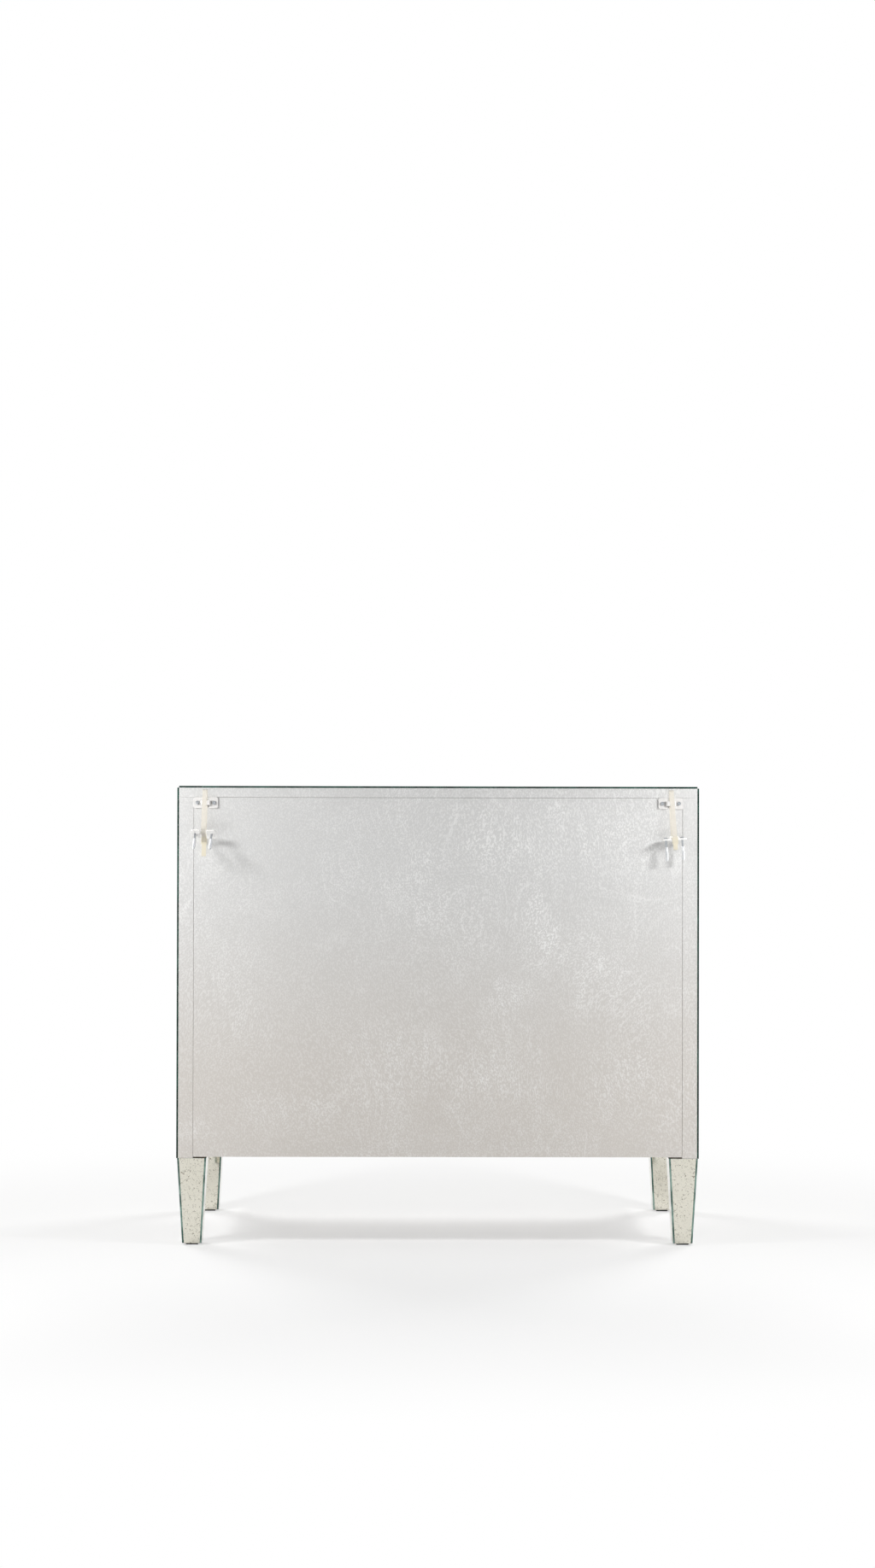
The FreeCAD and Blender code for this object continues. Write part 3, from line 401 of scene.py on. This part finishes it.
def glass_edge(name, deep, light, shine=0.5):
    """Ground edge of float glass, green with paler chips along it."""
    f = Finish(name)
    ripple = f.noise(f.where, 35.0, detail=3.0)
    chips = f.between(f.noise(f.where, 700.0), 0.64, 0.72)
    tone = f.mix(f.between(ripple, 0.38, 0.66), deep, light)
    return f.finish(
        Base_Color=f.mix(0.35 * chips, tone, GLASS_CHIP),
        Roughness=0.2 + 0.1 * ripple,
        Specular_IOR_Level=shine,
    )


def moulded(name, pale, deep, roughness, thick=None):
    """Moulded plastic with a slight mottle; thick is the colour of its thick lower end."""
    f = Finish(name)
    mottle = f.noise(f.where, 260.0)
    fine = f.noise(f.where, 2200.0, detail=1.0)
    tone = f.mix(f.between(mottle, 0.3, 0.7), pale, deep)
    grain = f.bump(fine, strength=0.12, distance=0.1 * MM)
    if thick:
        height = f.axes()[2]
        thicker = f.between(height, TIE_HEAD_TOP + TIE_FADE, TIE_HEAD_TOP - TIE_FADE)
        tone = f.mix(thicker, tone, thick)
        ribs = f.maths("SINE", height * (2 * math.pi / TIE_RIB))
        grain = f.bump(ribs, strength=0.35, distance=0.2 * MM)
    return f.finish(Base_Color=tone, Roughness=roughness + 0.08 * fine, Normal=grain)


def plated(name, bright, dull, roughness):
    """Plated metal with fine polishing lines."""
    f = Finish(name)
    lines = f.noise(f.stretched((300, 2600, 2600)), 1.0)
    return f.finish(
        Base_Color=f.mix(f.between(lines, 0.3, 0.8), bright, dull),
        Metallic=1.0,
        Roughness=roughness + 0.12 * lines,
        Normal=f.bump(lines, strength=0.1, distance=0.1 * MM),
    )


def planed_wood(name, light, dark, along):
    """Straight-grained wood; along names the axis of the grain."""
    f = Finish(name)
    scale = [3.0 if axis == along else 70.0 for axis in "xyz"]
    grain = f.noise(f.stretched(scale), 1.0, detail=5.0, roughness=0.6, distortion=0.8)
    pores = f.noise(f.stretched([part * 12 for part in scale]), 1.0)
    tone = f.mix(f.between(grain, 0.3, 0.7), light, dark)
    pore_tone = [part * 0.7 for part in dark]
    return f.finish(
        Base_Color=f.mix(0.4 * f.between(pores, 0.58, 0.75), tone, pore_tone),
        Roughness=0.45 + 0.15 * grain,
        Normal=f.bump(grain + 0.4 * pores, strength=0.2, distance=0.4 * MM),
    )


def cut_glass():
    """Clear glass for the knobs."""
    f = Finish("cut_glass")
    faint = f.noise(f.where, 120.0)
    return f.finish(
        Base_Color=f.mix(faint, (248, 251, 250), (238, 245, 242)),
        Roughness=0.01 + 0.02 * faint,
        Transmission_Weight=1.0,
        IOR=1.5,
    )


FINISHES = {
    "silver_paint": silver_lacquer(),
    "antique_mirror": antique_mirror("antique_mirror", (225, 222, 210), (220, 217, 204), 0.85),
    "nickel": plated("polished_nickel", (206, 200, 190), (170, 164, 156), 0.16),
    "steel": plated("zinc_plate", (206, 210, 214), (160, 165, 171), 0.28),
    "white_plastic": moulded("white_plastic", (218, 217, 215), (211, 209, 207), 0.38),
    "ivory_nylon": moulded("ivory_nylon", (218, 213, 203), (212, 207, 196), 0.35, (213, 206, 187)),
    "clear_white_plastic": moulded("milky_plastic", (230, 231, 233), (220, 222, 225), 0.3),
    "drawer_wood": planed_wood("birch", (226, 204, 166), (206, 178, 134), "y"),
    "leg_wood": planed_wood("beech", (204, 170, 128), (178, 140, 100), "z"),
    "dark_plastic": moulded("dark_nylon", (44, 44, 44), (30, 30, 31), 0.45),
    "knob_glass": cut_glass(),
}
CASE_EDGE = glass_edge("green_glass_edge", (6, 32, 26), (24, 60, 51), 0.15)
LEG_EDGE = glass_edge("leg_glass_edge", (50, 82, 73), (128, 156, 146))
ARRIS = glass_edge("ground_arris", (34, 78, 67), (96, 136, 124), 0.3)
# A paler copy of the white plastic for the loose wall brackets: painted light, standing in for the
# light on their undersides.
LOOSE_PLASTIC_PAINTED_LIGHT = moulded("loose_plastic_painted_light", (243, 242, 240), (237, 235, 232), 0.38)
BEVELLED = antique_mirror("bevelled_mirror", (236, 235, 229), (230, 229, 222), 0.5)


# ---------------------------------------------------------------- modelling tools
def select_only(piece):
    """Make one piece the selected and the active one."""
    bpy.ops.object.select_all(action="DESELECT")
    bpy.context.view_layer.objects.active = piece
    piece.select_set(True)


@contextmanager
def edit_mode(piece, kind="FACE"):
    """Edit mode with nothing selected; gives the mesh to pick from."""
    select_only(piece)
    bpy.ops.object.mode_set(mode="EDIT")
    bpy.ops.mesh.select_mode(type=kind)
    bpy.ops.mesh.select_all(action="DESELECT")
    yield bmesh.from_edit_mesh(piece.data)
    bpy.ops.object.mode_set(mode="OBJECT")


def pick(piece, parts, test):
    """Select the faces or edges of a mesh in edit mode that pass a test."""
    for part in parts:
        part.select_set(bool(test(part)))
    bmesh.update_edit_mesh(piece.data)


def apply_modifier(piece, kind, **settings):
    """Add a modifier and apply it at once."""
    select_only(piece)
    modifier = piece.modifiers.new(kind.lower(), kind)
    for name, value in settings.items():
        setattr(modifier, name, value)
    bpy.ops.object.modifier_apply(modifier=modifier.name)


def shade_smooth(piece, degrees, weighted=False):
    """Shade faces that meet at less than this angle as one; weighted keeps broad faces flat."""
    select_only(piece)
    bpy.ops.object.shade_smooth_by_angle(angle=math.radians(degrees))
    if weighted:
        apply_modifier(piece, "WEIGHTED_NORMAL", keep_sharp=True)


def ease(piece, width, segments=2, smooth=0):
    """Round the sharp edges; smooth is the angle in degrees up to which faces shade as one."""
    limit = {"limit_method": "ANGLE", "angle_limit": math.radians(SHARP_ANGLE)}
    apply_modifier(piece, "BEVEL", width=width, segments=segments, **limit)
    if smooth:
        shade_smooth(piece, smooth, weighted=True)
    return piece


def seat(piece, matrix):
    """Move a finished mesh to its place, so that its object stays at the origin."""
    piece.data.transform(matrix)
    piece.data.update()
    return piece


def in_scene(name, data):
    """A new object in the scene from a mesh, camera or light."""
    made = bpy.data.objects.new(name, data)
    bpy.context.scene.collection.objects.link(made)
    return made


def merged_copy(node):
    """A copy of a CAD node's mesh with its flat faces whole again."""
    piece = in_scene(node + "_piece", frame["nodes"][node].data.copy())
    with edit_mode(piece):
        bpy.ops.mesh.select_all(action="SELECT")
        bpy.ops.mesh.remove_doubles(threshold=MERGE_GAP)
        bpy.ops.mesh.dissolve_limited(angle_limit=math.radians(FLAT_ANGLE))
        bpy.ops.mesh.normals_make_consistent(inside=False)
    return piece


def repeated(piece, place):
    """A copy of a finished mesh, seated somewhere else."""
    return seat(in_scene(piece.name, piece.data.copy()), place)


def block(name, low, high):
    """A box between two corners."""
    low, high = Vector(low), Vector(high)
    bpy.ops.mesh.primitive_cube_add(size=1, location=(low + high) / 2, scale=high - low)
    piece = bpy.context.active_object
    piece.name = name
    bpy.ops.object.transform_apply(location=True, rotation=False, scale=True)
    return piece


def turned(name, profile, sides, twists=None):
    """A closed turned shape on Z through (radius, height) points, from its flat start."""
    radius, height = profile[0]
    at_start = {"radius": radius, "location": (0, 0, height)}
    bpy.ops.mesh.primitive_circle_add(vertices=sides, fill_type="NGON", **at_start)
    piece = bpy.context.active_object
    piece.name = name
    bpy.ops.object.transform_apply(location=True)
    twists = twists or [0] * (len(profile) - 1)
    with edit_mode(piece):
        bpy.ops.mesh.select_all(action="SELECT")
        for (next_radius, next_height), twist in zip(profile[1:], twists):
            rise = (0, 0, next_height - height)
            bpy.ops.mesh.extrude_region_move(TRANSFORM_OT_translate={"value": rise})
            share = next_radius / radius
            middle = (0, 0, next_height)
            bpy.ops.transform.resize(value=(share, share, 1), center_override=middle)
            if twist:
                angle = math.radians(twist)
                bpy.ops.transform.rotate(value=angle, orient_axis="Z", center_override=middle)
            radius, height = next_radius, next_height
        bpy.ops.mesh.select_all(action="SELECT")
        bpy.ops.mesh.normals_make_consistent(inside=False)
    return piece


def carve(piece, cutter):
    """Cut one shape out of another."""
    apply_modifier(piece, "BOOLEAN", operation="DIFFERENCE", object=cutter, solver="EXACT")
    bpy.data.objects.remove(cutter)


def join(name, pieces):
    """Make one piece of several; the first one stays."""
    select_only(pieces[0])
    for piece in pieces:
        piece.select_set(True)
    bpy.ops.object.join()
    pieces[0].name = name
    return pieces[0]


def body_of(node):
    """The name of the body that a CAD node rides on."""
    return frame["nodes"][node]["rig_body"]


def stand_for(piece, node, finish=None):
    """A finished piece takes the place, body and finish of a CAD node."""
    if not piece.data.materials:
        piece.data.materials.append(finish or FINISHES[SLOTS[node]])
    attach(piece, body_of(node))
    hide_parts(node)
    return piece


def eased_copy(node, width, segments=2, smooth=0, finish=None):
    """A CAD node's own shape with its sharp edges rounded."""
    piece = ease(merged_copy(node), width, segments, smooth)
    piece.data.materials.clear()
    return stand_for(piece, node, finish)


def give_finishes(piece, *finishes):
    """Replace all the finishes of a piece."""
    piece.data.materials.clear()
    for finish in finishes:
        piece.data.materials.append(finish)


def silver_and_edges(piece, facing, edge=None):
    """Mirror on the faces that look along an axis, then bevels, arrises and green edges."""
    give_finishes(piece, FINISHES["antique_mirror"], BEVELLED, ARRIS, edge or CASE_EDGE)
    for face in piece.data.polygons:
        turned_away = 1 - abs(face.normal.dot(facing))
        face.material_index = sum(turned_away > limit for limit in GLASS_LIMITS)
    return piece


# ---------------------------------------------------------------- case and mirrors
def finish_cad_nodes():
    """Every CAD node that keeps its own mesh gets its finish."""
    for name, thing in frame["nodes"].items():
        give_finishes(thing, FINISHES[SLOTS[name]])


def ease_boards():
    """The wooden boards with eased edges."""
    boards = ["top_panel", "bottom_panel", "side_panel_left", "side_panel_right"]
    boards += ["drawer_deck", "drawer_partition", "cupboard_shelf"]
    for side, _ in SIDES:
        boards += [f"drawer_{side}_front", f"door_{side}_panel"]
    for node in boards:
        eased_copy(node, BOARD_ROUNDING)
    for node in ("shelf_cleats", "drawer_runners", "leg_tenons"):
        eased_copy(node, WOOD_ROUNDING)


def back_board():
    """The back board, a hair smaller than its rebate, with raw edges in the joint."""
    piece = merged_copy("back_panel")
    low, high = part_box("back_panel")
    across, up = (1 - 2 * SEAM / (high[axis] - low[axis]) for axis in (0, 2))
    with edit_mode(piece):
        bpy.ops.mesh.select_all(action="SELECT")
        bpy.ops.transform.resize(value=(across, 1, up), center_override=(low + high) / 2)
    ease(piece, BOARD_ROUNDING)
    give_finishes(piece, FINISHES["silver_paint"], raw_board())
    for face in piece.data.polygons:
        face.material_index = int(abs(face.normal.y) < 0.3)
    stand_for(piece, "back_panel")


def ease_mirrors():
    """The sheets of mirror, each with its arrised green edges."""
    facings = {"mirror_top": "z", "mirror_side_left": "x", "mirror_side_right": "x"}
    facings["mirror_stiles"] = "y"
    for side, _ in SIDES:
        facings[f"drawer_{side}_mirror"] = "y"
        facings[f"door_{side}_mirror"] = "y"
    for node, axis in facings.items():
        piece = ease(merged_copy(node), GLASS_ARRIS)
        facing = Vector([float(axis == letter) for letter in "xyz"])
        stand_for(silver_and_edges(piece, facing), node)


def rail_mirrors():
    """Strips of mirror on the front edges of the top, deck, floor and partition."""
    face_low, face_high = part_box("mirror_stiles")[0].y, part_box("mirror_stiles")[1].y
    strips = []
    for node in ("top_panel", "drawer_deck", "bottom_panel", "drawer_partition"):
        low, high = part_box(node)
        strip = block("rail_strip", (low.x, face_low, low.z), (high.x, face_high, high.z))
        strips.append(ease(strip, GLASS_ARRIS))
    piece = join("mirror_rails_piece", strips)
    stand_for(silver_and_edges(piece, Vector((0, 1, 0))), "mirror_rails")


def leg_strip(centre, top, axis, side):
    """One tapered strip of a leg's mirror; the strips across X are as wide as the leg."""
    full = axis == "x"
    through = Vector((1, 0, 0)) if full else Vector((0, 1, 0))
    margin = 0 if full else GLASS_THICK
    wide, lower_wide = LEG_TOP / 2 - margin, LEG_BOTTOM / 2 - margin
    size = (GLASS_THICK, 2 * wide) if full else (2 * wide, GLASS_THICK)
    middle = centre + side * (LEG_TOP / 2 - GLASS_THICK / 2) * through
    low = middle - Vector((*size, 0)) / 2 + Vector((0, 0, GLIDE_HIGH))
    high = middle + Vector((*size, 0)) / 2 + Vector((0, 0, top))
    strip = block("leg_strip", low, high)
    with edit_mode(strip) as mesh:
        pick(strip, mesh.faces, lambda face: face.normal.z < -0.9)
        narrow = lower_wide / wide
        scale = (1, narrow, 1) if full else (narrow, 1, 1)
        bpy.ops.transform.resize(value=scale, center_override=(middle.x, middle.y, GLIDE_HIGH))
        bpy.ops.transform.translate(value=-side * (LEG_TOP - LEG_BOTTOM) / 2 * through)
    with edit_mode(strip, "EDGE") as mesh:
        pick(strip, mesh.edges, lambda edge: is_low_corner(edge, through))
        bpy.ops.mesh.bevel(offset=LEG_CLIP, segments=3, affect="EDGES")
    outward = side * through
    with edit_mode(strip, "EDGE") as mesh:
        furthest = max(vert.co.dot(outward) for vert in mesh.verts if vert.co.z < 2 * GLIDE_HIGH)
        pick(strip, mesh.edges, lambda edge: is_foot_edge(edge, outward, furthest))
        bpy.ops.mesh.bevel(offset=LEG_FOOT, segments=3, affect="EDGES")
    return silver_and_edges(ease(strip, GLASS_ARRIS), through, LEG_EDGE)


def is_low_corner(edge, through):
    """Whether an edge lies at the strip's foot and runs through its thickness."""
    first, last = (vert.co for vert in edge.verts)
    run = (last - first).normalized()
    return max(first.z, last.z) < 2 * GLIDE_HIGH and abs(run.dot(through)) > 0.9


def is_foot_edge(edge, outward, furthest):
    """Whether an edge is the outer lower edge of a strip."""
    return all(
        vert.co.z < 1.1 * GLIDE_HIGH and vert.co.dot(outward) > furthest - 0.2 * MM
        for vert in edge.verts
    )


def leg_mirrors():
    """Four strips of mirror and a glide on each leg."""
    for fore in ("front", "back"):
        for side, _ in SIDES:
            node = f"leg_mirrors_{fore}_{side}"
            low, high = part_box(node)
            centre = Vector(((low.x + high.x) / 2, (low.y + high.y) / 2, 0))
            strips = [leg_strip(centre, high.z, axis, way) for axis in "xy" for way in (-1, 1)]
            stand_for(join(node + "_piece", strips), node)
    eased_copy("leg_glides", PLASTIC_ROUNDING)


# ---------------------------------------------------------------- anti-tip kits
def cross_recess(head, long, wide, low, high):
    """Cut a cross into a screw's head between two heights; long and wide are half its sizes."""
    for across, along in ((long, wide), (wide, long)):
        carve(head, block("recess", (-across, -along, low), (across, along, high)))


def screw_head(name):
    """A domed head with a cross recess, seated on height 0."""
    profile = [(out * SCREW_HEAD, up * SCREW_HEAD_HIGH) for out, up in HEAD_SHARES]
    head = turned(name, profile, sides=32)
    floor = SCREW_HEAD_HIGH - 0.4 * SCREW_HEAD_HIGH
    cross_recess(head, 0.5 * SCREW_HEAD, 0.11 * SCREW_HEAD, floor, 2 * SCREW_HEAD_HIGH)
    return head


def plain_shank(name, radius, length):
    """A shank with a short point."""
    profile = [(radius, 0), (radius, -0.85 * length), (0.25 * radius, -length)]
    return turned(name, profile, sides=20)


def threaded_shank(name, radius, length):
    """A shank cut with a thread from a third of its length to its point."""
    root = radius - THREAD_DEEP
    end = -THREAD_END * length
    profile = [(radius, 0), (radius, -length / 3), (root, -length / 3), (root, end)]
    core = turned(name, profile + [(0.15 * root, -length)], sides=16)
    bpy.ops.mesh.primitive_circle_add(vertices=3, radius=1, fill_type="NOTHING")
    ridge = bpy.context.active_object
    sunk = root - 0.05 * MM
    for vert, (out, up) in zip(ridge.data.vertices, ((sunk, -0.3), (sunk, 0.3), (radius, 0))):
        vert.co = (out, 0, end + up * THREAD_PITCH)
    apply_modifier(
        ridge,
        "SCREW",
        axis="Z",
        screw_offset=THREAD_PITCH,
        iterations=int(THREAD_SHARE * length / THREAD_PITCH),
        steps=THREAD_STEPS,
        render_steps=THREAD_STEPS,
        use_smooth_shade=False,
        use_normal_calculate=True,
    )
    with edit_mode(ridge, "EDGE") as mesh:
        pick(ridge, mesh.edges, lambda edge: edge.is_boundary)
        bpy.ops.mesh.fill()
        bpy.ops.mesh.select_all(action="SELECT")
        bpy.ops.mesh.normals_make_consistent(inside=False)
    return join(name, [core, ridge])


def pair(name, make, bracket, out, turn, smooth):
    """Two alike, one at each hole of a bracket, which lies on Y = 0 before it is seated."""
    things = []
    for way in (-1, 1):
        thing = make()
        place = Matrix.Translation((way * SCREW_SPACING / 2, out, 0))
        seat(thing, bracket @ place @ Matrix.Rotation(math.radians(turn), 4, "X"))
        shade_smooth(thing, smooth)
        things.append(thing)
    return join(name, things)


def screws_in(name, bracket, shank, radius, length):
    """Two screws through a bracket."""
    def screw():
        return join(name, [screw_head(name), shank(name, radius, length)])

    return pair(name, screw, bracket, out=PLATE_THICK, turn=-90, smooth=32)


def wall_plug(name):
    """A barbed plug, split from a third of its length to its end."""
    neck = 0.8 * PLUG_RADIUS
    collar = 0.05 * PLUG_LONG
    profile = [(0.9 * PLUG_RADIUS, 0), (PLUG_RADIUS, 0.3 * collar), (PLUG_RADIUS, collar)]
    profile.append((neck, 1.2 * collar))
    start, end = 0.22 * PLUG_LONG, PLUG_LONG * 0.92
    step = (end - start) / PLUG_BARBS
    for number in range(PLUG_BARBS):
        low = start + number * step
        profile += [(neck, low), (0.97 * PLUG_RADIUS, low + 0.15 * step)]
    profile += [(0.75 * PLUG_RADIUS, end), (0.5 * PLUG_RADIUS, PLUG_LONG)]
    plug = turned(name, profile, sides=24)
    half, reach = 0.12 * PLUG_RADIUS, 2 * PLUG_RADIUS
    carve(plug, block("slit", (-half, -reach, 0.3 * PLUG_LONG), (half, reach, 2 * PLUG_LONG)))
    return plug


def wall_plugs(name, bracket):
    """Two plugs on the screws behind a bracket."""
    return pair(name, lambda: wall_plug(name), bracket, out=-PLUG_START, turn=90, smooth=25)


# Reach out from the back, drop below the fixed bracket, and in degrees the tilt of the loose
# bracket and the lean of the tie.
KITS = {
    "left": (17.0 * MM, 60.0 * MM, 90.0, 3.4),
    "right": (22.5 * MM, 53.0 * MM, 135.0, 1.5),
}


def restraint_kits():
    """Brackets, ties, screws and wall plugs at both top corners of the back."""
    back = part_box("back_panel")[1].y
    fixed = []
    for side, sign in SIDES:
        low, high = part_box(f"restraint_bracket_{side}")
        level = (low.z + high.z) / 2
        centre = (low.x + high.x) / 2
        eased_copy(f"restraint_bracket_{side}", PLASTIC_ROUNDING, smooth=30)
        # The loose brackets take the paler copy of the plastic: painted light on them.
        eased_copy(f"wall_bracket_{side}", PLASTIC_ROUNDING, smooth=30, finish=LOOSE_PLASTIC_PAINTED_LIGHT)
        tie = eased_copy(f"tie_{side}", STRAP_ROUNDING, smooth=40)
        tie.visible_shadow = False      # thin natural nylon lets the light through
        place = Matrix.Translation((centre, back, level))
        fixed.append(screws_in("restraint_screw", place, plain_shank, SCREW_RADIUS, SCREW_LONG))

        reach, drop, tilt, lean = KITS[side]
        home = Matrix.Translation((centre + sign * TIE_OFFSET, back, level))
        home = home @ Matrix.Rotation(math.radians(-sign * lean), 4, "Y")
        turn = Matrix.Rotation(math.radians(tilt), 4, "X")
        normal = turn @ Vector((0, 1, 0))
        touch = Vector((0, reach, -drop))
        wall = home @ Matrix.Translation(touch - normal * STRAP_LIFT) @ turn
        name = f"wall_screws_{side}"
        size = (WALL_SCREW_RADIUS, WALL_SCREW_LONG)
        stand_for(screws_in(name + "_piece", wall, threaded_shank, *size), name)
        name = f"wall_anchors_{side}"
        stand_for(wall_plugs(name + "_piece", wall), name)
    stand_for(join("restraint_screws_piece", fixed), "restraint_screws")


# ---------------------------------------------------------------- knobs
def knob(owner, grip):
    """A cut-glass knob on a turned collar, its bolt held by a nut behind the front."""
    low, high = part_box(owner + "_knob")
    centre = Vector(((low.x + high.x) / 2, low.y + KNOB_REACH, (low.z + high.z) / 2))
    place = Matrix.Translation(centre) @ Matrix.Rotation(math.radians(90), 4, "X")
    glass = turned(owner + "_knob_piece", KNOB_FACETS, sides=8, twists=KNOB_TWISTS)
    with edit_mode(glass):
        bpy.ops.mesh.select_all(action="SELECT")
        bpy.ops.mesh.quads_convert_to_tris()
    ease(glass, FACET_ROUNDING, segments=1)
    stand_for(seat(glass, place), owner + "_knob")

    end = grip + NUT_THICK + BOLT_END
    bolt = [(BOLT_RADIUS, 0), (BOLT_RADIUS, BOLT_CHAMFER - end), (BOLT_TIP, -end)]
    nut = [
        (NUT_FACE, -grip),
        (NUT_RADIUS, -grip - NUT_CHAMFER),
        (NUT_RADIUS, NUT_CHAMFER - grip - NUT_THICK),
        (NUT_FACE, -grip - NUT_THICK),
    ]
    collar = turned("collar", COLLAR_PROFILE, sides=48)
    metal = [collar, turned("bolt", bolt, sides=20), turned("nut", nut, sides=6)]
    fixing = join(owner + "_knob_bolt_piece", metal)
    shade_smooth(fixing, 35)
    stand_for(seat(fixing, place), owner + "_knob_bolt")


def knobs():
    """A knob on each drawer and door; a drawer's bolt also goes through the front of its box."""
    for side, _ in SIDES:
        for kind, board, behind in (("drawer", "front", BOX_FRONT), ("door", "panel", 0)):
            owner = f"{kind}_{side}"
            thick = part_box(f"{owner}_{board}")
            knob(owner, FRONT_MIRROR + thick[1].y - thick[0].y + behind)


def hinge_leaves(node, faces):
    """Hinge leaves and their countersunk screws; faces gives the X of each and where it looks."""
    piece = ease(merged_copy(node), METAL_ROUNDING, segments=1)
    low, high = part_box(node)
    sunk = turned("countersink", COUNTERSINK, sides=24)
    head = turned("leaf_screw", LEAF_SCREW_CONE, sides=24)
    cross_recess(head, 0.6 * LEAF_SCREW, 0.14 * LEAF_SCREW, -0.45 * MM, MM)
    screws = []
    for face, way in faces:
        turn = Matrix.Rotation(math.radians(90 * way), 4, "Y")
        for level in (low.z + HINGE_HIGH / 2, high.z - HINGE_HIGH / 2):
            for rise, inset in LEAF_SCREW_PLACES:
                place = Matrix.Translation((face, high.y - inset, level + rise)) @ turn
                carve(piece, repeated(sunk, place))
                screws.append(repeated(head, place))
    for tool in (sunk, head):
        bpy.data.objects.remove(tool)
    piece = join(node + "_piece", [piece] + screws)
    shade_smooth(piece, 30, weighted=True)
    piece.data.materials.clear()
    stand_for(piece, node)


def hardware():
    """Hinges, their pins, the catch and its strikes."""
    low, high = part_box("hinge_case_leaves")
    hinge_leaves("hinge_case_leaves", ((low.x + LEAF_THICK, 1), (high.x - LEAF_THICK, -1)))
    eased_copy("hinge_pins", METAL_ROUNDING, segments=1, smooth=30)
    eased_copy("door_catch", PLASTIC_ROUNDING)
    for side, sign in SIDES:
        node = f"door_{side}_hinge_leaves"
        hinged_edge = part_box(node)[0].x if sign > 0 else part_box(node)[1].x
        hinge_leaves(node, ((hinged_edge + sign * LEAF_THICK, sign),))
        eased_copy(f"door_{side}_strike", METAL_ROUNDING, segments=1)


# ---------------------------------------------------------------- camera, lights, floor
CAMERA_PLACE = (0.0341, 4.9124, 0.75596)
CAMERA_PITCH = 0.0111
CAMERA_YAW = -0.0069
CAMERA_ROLL = 0.0022
LENS, SENSOR = 61.58, 36        # millimetres
WORLD_FILL = 0.1                # light of the studio itself
CEILING_SHADE = 0.35            # how much darker the mirrors see the studio overhead
CEILING_RISE = (0.15, 0.9)      # rise of a ray where that begins and where it is full
FLOOR_SIZE = 60
FLOOR_FADE = (0.5, 1.6)         # the floor turns plain white between these distances
# How white it is nearer than that, to the camera and in the mirrors.
FLOOR_WHITE, FLOOR_WHITE_MIRRORED = 0.5, 0.15
RAYS = ("Is Camera Ray", "Is Glossy Ray", "Is Transmission Ray")
# Pairs of soft lamps: place and aim on the +X side, width and height in metres, power in watts.
LAMPS = (
    ("back_high", (0.94, 0.64, 1.02), (0.2, 0.2, 0.6), (0.20, 0.14), 6.6),
    ("back_low", (1.1, 1.1, 0.25), (0.2, 0.2, 0.3), (0.5, 0.5), 4.0),
    ("front", (1.9, -2.2, 1.9), (0, -0.2, 0.4), (1.2, 1.2), 55),
)


def set_camera():
    """The camera behind the cabinet, low and nearly level."""
    data = bpy.data.cameras.new("view")
    data.lens = LENS
    data.sensor_width = SENSOR
    camera = in_scene("view", data)
    turn = (
        Matrix.Rotation(math.pi + CAMERA_YAW, 4, "Z")
        @ Matrix.Rotation(math.pi / 2 + CAMERA_PITCH, 4, "X")
        @ Matrix.Rotation(CAMERA_ROLL, 4, "Z")
    )
    camera.matrix_world = Matrix.Translation(CAMERA_PLACE) @ turn
    bpy.context.scene.camera = camera


def area_light(name, place, aim, size, power):
    """A soft lamp that neither the camera nor the mirrors see."""
    data = bpy.data.lights.new(name, "AREA")
    data.shape = "RECTANGLE"
    data.size, data.size_y = size
    data.energy = power
    light = in_scene(name, data)
    light.visible_glossy = False
    light.visible_camera = False
    light.location = place
    light.rotation_euler = (Vector(aim) - Vector(place)).to_track_quat("-Z", "Y").to_euler()


def set_lamps():
    """The lamps, in pairs."""
    for name, (across, out, up), aim, size, power in LAMPS:
        for side, sign in SIDES:
            place = (sign * across, out, up)
            area_light(f"{name}_{side}", place, (sign * aim[0], aim[1], aim[2]), size, power)


def set_world():
    """A studio that looks white but lights little, and is darker overhead in the mirrors."""
    world = bpy.data.worlds.new("studio")
    bpy.context.scene.world = world
    w = Nodes(world, "Generated")
    camera, glossy, through = w.outputs("LightPath", RAYS)
    seen = w.maths("MAXIMUM", w.maths("MAXIMUM", camera, glossy), through)
    strength = w.ramp(seen, 0.0, 1.0, WORLD_FILL, 1.0)
    ceiling = w.ramp(w.axes()[2], *CEILING_RISE, 0.0, CEILING_SHADE)
    white = {"Color": (1, 1, 1, 1), "Strength": strength - ceiling * glossy}
    w.node("OutputWorld", {}, {"Surface": w.node("Background", {}, white)})


def lay_floor():
    """A pale floor that keeps the shadow near the cabinet and is plain white further out."""
    bpy.ops.mesh.primitive_plane_add(size=FLOOR_SIZE, location=(0, 0, 0))
    floor = bpy.context.active_object
    floor.name = "studio_floor"
    f = Finish("studio_floor")
    x, y, _ = f.axes()
    away = f.between(f.length(x, y), *FLOOR_FADE)
    faint = f.noise(f.where, 3.0)
    matt = f.node("BsdfDiffuse", {}, {"Color": f.mix(faint, (251, 251, 251), (249, 249, 249))})
    white = f.node("Emission", {}, {"Color": (1, 1, 1, 1), "Strength": 1.0})
    camera, glossy, _ = f.outputs("LightPath", RAYS)
    seen = camera * (FLOOR_WHITE + (1 - FLOOR_WHITE) * away)
    mirrored = glossy * (FLOOR_WHITE_MIRRORED + (1 - FLOOR_WHITE_MIRRORED) * away)
    both = f.node("MixShader", {}, {0: f.maths("MAXIMUM", seen, mirrored), 1: matt, 2: white})
    f.node("OutputMaterial", {}, {"Surface": both})
    floor.data.materials.append(f.material)


finish_cad_nodes()
ease_boards()
back_board()
ease_mirrors()
rail_mirrors()
leg_mirrors()
restraint_kits()
knobs()
hardware()
set_camera()
set_lamps()
set_world()
lay_floor()
bpy.context.scene.view_settings.view_transform = "Standard"
